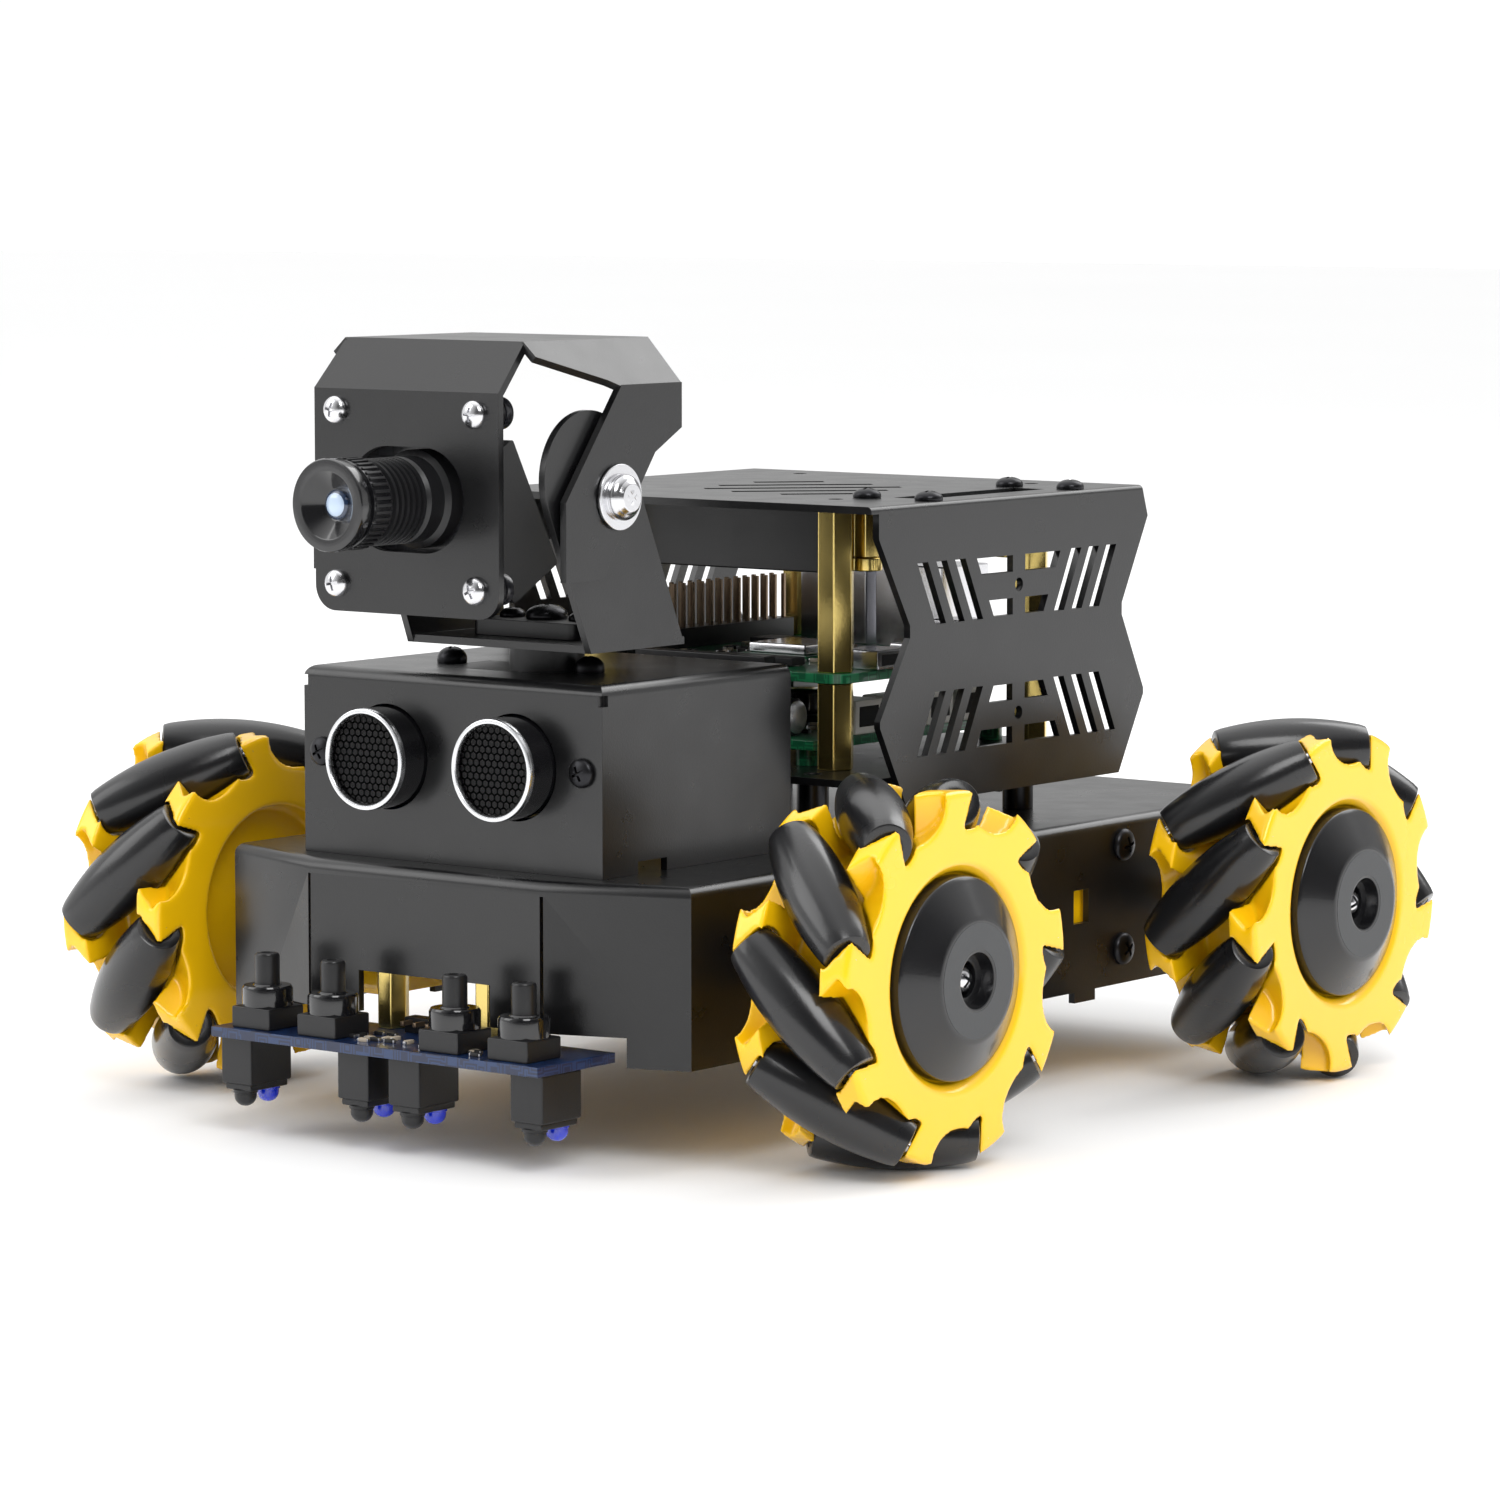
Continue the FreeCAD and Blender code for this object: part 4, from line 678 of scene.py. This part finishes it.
def port(piece, x0, x1, y0, y1, z0, z1, mouths):
    """A plated shell whose rear-facing mouths are patches of painted shade, each with a plastic tongue."""
    piece.box(x0, x1, y0, y1 - 0.4, z0, z1, STEEL, 0.3)
    height = (z1 - z0) / mouths
    for k in range(mouths):
        low = z0 + k * height
        # The dark patch over each mouth is painted shade for the opening, not a hole.
        piece.box(x0 + 0.9, x1 - 0.9, y1 - 0.7, y1 - 0.3, low + 0.9, low + height - 0.9, PAINTED_RECESS_SHADE, 0.1)
        piece.box(x0 + 1.8, x1 - 1.8, y1 - 0.9, y1 - 0.1, low + 2.0, low + 3.2, WHITE_PLASTIC, 0.1)


def controller():
    skin("controller_board", "chassis", "circuit_board", GREEN_BOARD, 0.12)
    skin("driver_board", "chassis", "circuit_board", GREEN_BOARD, 0.12)
    z = BOARD_Z
    piece = Piece("components", "chassis", "black_plastic", "board_components")
    piece.box(-27.4, -22.4, -7.6, 38.6, z, z + 3.4, BLACK, 0.2)
    for k in range(18):
        y = -6.1 + 2.54 * k
        for x in (-26.2, -23.6):
            piece.box(x - 0.33, x + 0.33, y - 0.33, y + 0.33, z + 3.2, z + 11.0, GOLD_PIN, 0.1)
    port(piece, -16, -2, 32, 46, z, z + 14, 2)
    port(piece, 0, 14, 32, 46, z, z + 14, 2)
    port(piece, 15.5, 21, 34, 40, z, z + 4, 1)
    piece.box(-6, 8, 2, 16, z, z + 0.7, GREEN_BOARD, 0.1)
    piece.box(-5, 7, 3, 15, z + 0.7, z + 2.4, STEEL, 0.4)
    for y0, y1, h in ((-6, 3, 3.2), (8, 15, 3.2), (20, 27, 6.4)):
        piece.box(20.5, 28.6, y0, y1, z, z + h, STEEL, 0.4)
        # A thin near-black sheet on each steel box's face: painted shade for its opening.
        piece.box(28.4, 28.62, y0 + 1, y1 - 1, z + 0.7, z + h - 0.7, PAINTED_RECESS_SHADE, 0.05)
    piece.box(-15, 12, -14.6, -11.6, z, z + 2.0, BLACK, 0.2)
    chip(piece, 6, -7.4, 15, 3.6, z, 8)
    chip(piece, -13, 22, 8, 6, z, 6)
    busy = [(-7, 9, 1, 17), (-28, -21.5, -8, 39), (-17, 15, 31, 47), (19, 29, -7, 28), (-16, 13, -15, -5)]
    scatter(piece, (-20, 19, -4, 30), z, 70, busy)
    low = DRIVER_Z
    piece.rod(3.1, (2.5, -8.6, low + 3.2), (14.0, -8.6, low + 3.2), BLACK, 0.5)
    piece.rod(2.7, (14.0, -8.6, low + 3.2), (14.12, -8.6, low + 3.2), ALUMINIUM, 0.05)
    for y in (-6, 8, 22):
        piece.box(-19.5, -10, y, y + 9, low, low + 6.5, GREY_BLOCK, 0.3)
        for dy in (2.4, 6.6):
            piece.add(screw_head(1.4, 0.4), STEEL, aim((-14.7, y + dy, low + 6.4), (0, 0, 1)))
    for y in (-1, 9, 19, 29):
        piece.box(14.2, 20.4, y, y + 7.4, low, low + 5.6, WHITE_PLASTIC, 0.25)
        # A near-black block inside each white socket: painted shade for its mouth.
        piece.box(15.2, 20.45, y + 1, y + 6.4, low + 1.2, low + 4.6, PAINTED_RECESS_SHADE, 0.1)
    for y in (4, 16):
        can = [(0, 0), (3.9, 0), (4.0, 0.3), (4.0, 4.6), (3.6, 5.2), (3.2, 5.35), (0, 5.35)]
        piece.turned(can, (-2, y, low), (0, 0, 1), GLOSS_BLACK, 56)
    chip(piece, 6, 12, 7, 7, low, 7)
    chip(piece, 6, 27, 9, 5, low, 8)
    scatter(piece, (-8, 13, -4, 40), low, 50, [(-7, 3, -1, 21), (1, 11, 7, 31)])
    piece.done()


def battery():
    skin("battery_pack", "chassis", "black_plastic", BLACK, 0.3)


# ---------------------------------------------------------------- pan and tilt head
def servos():
    skin("pan_servo", "chassis", "black_plastic", BLACK, 0.25)
    skin("tilt_servo", "pan_head", "black_plastic", BLACK, 0.25)


def pan_head():
    """Bracket, servo horn with its screws, and the bright pivot screw."""
    skin("pan_bracket", "pan_head", "black_sheet", SHEET, 0.2)
    skin("pan_horn", "pan_head", "black_plastic", BLACK, 0.2,
         pick=lambda c: STEEL if c.x > 18 else BLACK, extra=[STEEL])
    piece = Piece("pan_screws", "pan_head", "dark_steel")
    piece.add(screw_head(3.3, 2.3), BLACK_STEEL, aim((PAN_X, PAN_Y, HORN_Z), (0, 0, 1)))
    for x, y in ((-7.0, 0.0), (7.0, 0.0), (-4.4, 4.2)):
        piece.add(screw_head(2.05, 1.45), BLACK_STEEL, aim((PAN_X + x, PAN_Y + y, HORN_Z), (0, 0, 1)))
    piece.add(screw_head(3.6, 2.3), STEEL, aim((PIVOT_X + 0.6, TILT_Y, TILT_Z), (1, 0, 0)))
    for up in (8.6, -19.6):
        y, z = TILT_Y - sin(EAR_LEAN) * up, TILT_Z + cos(EAR_LEAN) * up
        piece.add(screw_head(1.9, 1.2), BLACK_STEEL, aim((-15.8, y, z), (-1, 0, 0)))
    piece.done()


def camera():
    skin("camera_bracket", "camera_head", "black_sheet", SHEET, 0.22,
         pick=lambda c: BLACK if c.x < -25.75 else SHEET, extra=[BLACK])
    piece = Piece("camera_module_parts", "camera_head", "black_plastic", "camera_module")
    back = CAM_PLATE_Y + 1.2
    board_y = back + 3.4
    piece.box(-13.2, 13.2, board_y, board_y + 1.6, LENS_Z - 13.2, LENS_Z + 13.2, BLACK_BOARD, 0.1)
    piece.box(-7, 7, board_y + 1.6, board_y + 4.0, LENS_Z - 7, LENS_Z + 7, BLACK, 0.3)
    for x in (-14, 14):
        for z in (LENS_Z - 13.4, LENS_Z + 13.4):
            piece.add(screw_head(2.15, 1.65), STEEL, aim((x, CAM_PLATE_Y, z), (0, -1, 0)))
            piece.rod(2.3, (x, back, z), (x, board_y, z), BLACK, 0.2)
            piece.rod(2.5, (x, board_y, z), (x, board_y + 1.6, z), BLACK_BOARD, 0.1)
            piece.rod(1.1, (x, board_y + 1.5, z), (x, board_y + 1.8, z), STEEL, 0.1)
    holder = [(0, 0), (7.6, 0), (7.6, 2.6), (6.7, 3.2), (6.7, 6.2)]
    for k in range(6):
        h = 6.9 + 1.28 * k
        holder += [(6.1, h), (6.1, h + 0.35), (6.68, h + 0.45), (6.68, h + 1.0), (6.1, h + 1.12)]
    tip = board_y - RING_BACK_Y
    holder += [(6.1, tip - 0.4), (5.2, tip - 0.4), (5.2, tip + 3.9), (0, tip + 3.9)]
    piece.turned(holder, (0, board_y, LENS_Z), (0, -1, 0), BLACK, 96)
    piece.done()


def lens_ring():
    """A fluted black barrel, a groove, a smooth front ring and a wide cone down to the glass."""
    length = RING_BACK_Y - LENS_TIP_Y
    at, out = (0, RING_BACK_Y, LENS_Z), (0, -1, 0)
    piece = Piece("lens_ring", "lens", "aluminium", "focus_ring")
    tip, bed = length, length - 2.3  # the front rim and the glass's bed
    profile = [(5.3, 0.1), (6.5, 0.0), (6.8, 0.4), (6.8, tip - 3.2), (6.3, tip - 3.0), (6.3, tip - 2.3),
               (7.0, tip - 2.1), (7.1, tip - 1.9), (7.1, tip - 0.35), (7.0, tip - 0.1), (6.8, tip),
               (5.3, tip), (5.1, tip - 0.15), (2.5, bed + 0.15), (2.3, bed), (0, bed), (0, bed - 0.6),
               (5.2, bed - 0.6)]
    piece.turned(profile, at, out, GLOSS_BLACK, 120)
    for k in range(40):
        turn = Matrix.Rotation(2 * pi * k / 40, 4, "Z")
        flute = box_mesh((0.34, 0.5, tip - 4.0), 0.1)
        flute.transform(turn @ Matrix.Translation((6.86, 0, 0.5)))
        piece.add(flute, BLACK, aim(at, out))
    glass = [(2.3 * cos(radians(a)), 0.62 * sin(radians(a))) for a in (0, 18, 36, 54, 72)]
    seat = (0, RING_BACK_Y - bed, LENS_Z)
    piece.turned([(0, 0)] + glass + [(0, 0.62)], seat, out, LENS_GLASS, 64)
    # The pale cap over the glass is a painted highlight.
    piece.turned([(0, 0.3), (1.9, 0.3), (1.6, 0.52), (0.9, 0.64), (0, 0.68)], seat, out, LENS_PAINTED_HIGHLIGHT, 64)
    piece.done()


# ---------------------------------------------------------------- set
def stage():
    """A pale flat floor and soft studio light."""
    bm = bmesh.new()
    half = 6.0
    corners = ((-half, -half, 0), (half, -half, 0), (half, half, 0), (-half, half, 0))
    bm.faces.new([bm.verts.new(p) for p in corners])
    mesh = bpy.data.meshes.new("floor")
    bm.to_mesh(mesh)
    bm.free()
    floor = bpy.data.objects.new("floor", mesh)
    bpy.context.scene.collection.objects.link(floor)
    mesh.materials.append(finish("studio floor", (0.95, 0.95, 0.95), 0.6, grain=40, bump=0.0, mottle=0.005))
    studio_sky()
    for name, at, size, power in (("key", (0.9, -0.7, 1.1), 0.7, 9), ("fill", (-0.9, -0.9, 0.8), 0.9, 5),
                                  ("back", (0.2, 1.1, 1.0), 0.9, 7)):
        lamp = bpy.data.lights.new(name, "AREA")
        lamp.energy, lamp.size = power, size
        obj = bpy.data.objects.new(name, lamp)
        bpy.context.scene.collection.objects.link(obj)
        obj.location = at
        obj.rotation_euler = (Vector((0, 0, 0.06)) - Vector(at)).to_track_quat("-Z", "Y").to_euler()


def sky_patch(tree, towards, stops):
    """A bright patch of the studio's walls: stops give (closeness to a direction, brightness)."""
    links = tree.links
    where = tree.nodes.new("ShaderNodeTexCoord").outputs["Generated"]
    dot = tree.nodes.new("ShaderNodeVectorMath")
    dot.operation = "DOT_PRODUCT"
    dot.inputs[1].default_value = Vector(towards).normalized()
    links.new(where, dot.inputs[0])
    half = tree.nodes.new("ShaderNodeMath")
    half.operation = "MULTIPLY_ADD"
    half.inputs[1].default_value = 0.5
    half.inputs[2].default_value = 0.5
    links.new(dot.outputs["Value"], half.inputs[0])
    ramp = tree.nodes.new("ShaderNodeValToRGB")
    while len(ramp.color_ramp.elements) < len(stops):
        ramp.color_ramp.elements.new(0.5)
    for element, (near, bright) in zip(ramp.color_ramp.elements, stops):
        element.position = 0.5 + near / 2
        element.color = (bright, bright, bright, 1)
    links.new(half.outputs["Value"], ramp.inputs["Fac"])
    return ramp.outputs["Color"]


def studio_sky():
    """White walls for light and view; in reflections they fall off to dark as studio flags do."""
    world = bpy.data.worlds.new("studio")
    bpy.context.scene.world = world
    world.use_nodes = True
    tree = world.node_tree
    links, shade = tree.links, tree.nodes["Background"]
    left = sky_patch(tree, (-0.9, -0.1, 0.3), ((0.0, 0.07), (0.45, 0.55), (0.9, 1.0)))
    rear = sky_patch(tree, (0.6, 0.79, -0.1), ((0.7, 0.0), (0.95, 0.75)))
    above = sky_patch(tree, (0.0, 0.25, 1.0), ((0.55, 0.0), (0.9, 1.0)))
    total = left
    for patch in (rear, above):
        both = tree.nodes.new("ShaderNodeVectorMath")
        both.operation = "ADD"
        links.new(total, both.inputs[0])
        links.new(patch, both.inputs[1])
        total = both.outputs["Vector"]
    choose = tree.nodes.new("ShaderNodeMix")
    choose.data_type = "RGBA"
    choose.inputs["A"].default_value = (1.06, 1.06, 1.06, 1)
    links.new(tree.nodes.new("ShaderNodeLightPath").outputs["Is Glossy Ray"], choose.inputs["Factor"])
    links.new(total, choose.inputs["B"])
    links.new(choose.outputs["Result"], shade.inputs["Color"])


def camera_view():
    """A long lens from the robot's front left, a little above it."""
    back = Vector((sin(CAMERA_AROUND) * cos(CAMERA_ABOVE), -cos(CAMERA_AROUND) * cos(CAMERA_ABOVE),
                   sin(CAMERA_ABOVE)))
    data = bpy.data.cameras.new("camera")
    data.lens, data.sensor_width = CAMERA_LENS, CAMERA_SENSOR
    data.clip_start, data.clip_end = 0.05, 30
    obj = bpy.data.objects.new("camera", data)
    bpy.context.scene.collection.objects.link(obj)
    place = Matrix.Translation(ORIGIN + Vector(CAMERA_AT) * MM)
    obj.matrix_world = place @ back.to_track_quat("Z", "Y").to_matrix().to_4x4()
    bpy.context.scene.camera = obj
    bpy.context.scene.view_settings.view_transform = "Standard"


for wheel in WHEELS:
    wheel_rim(*wheel)
    wheel_hub(*wheel)
rollers()
sheet_metal()
gear_motors()
fasteners()
sonar()
line_sensor()
controller()
battery()
servos()
pan_head()
camera()
lens_ring()
stage()
camera_view()
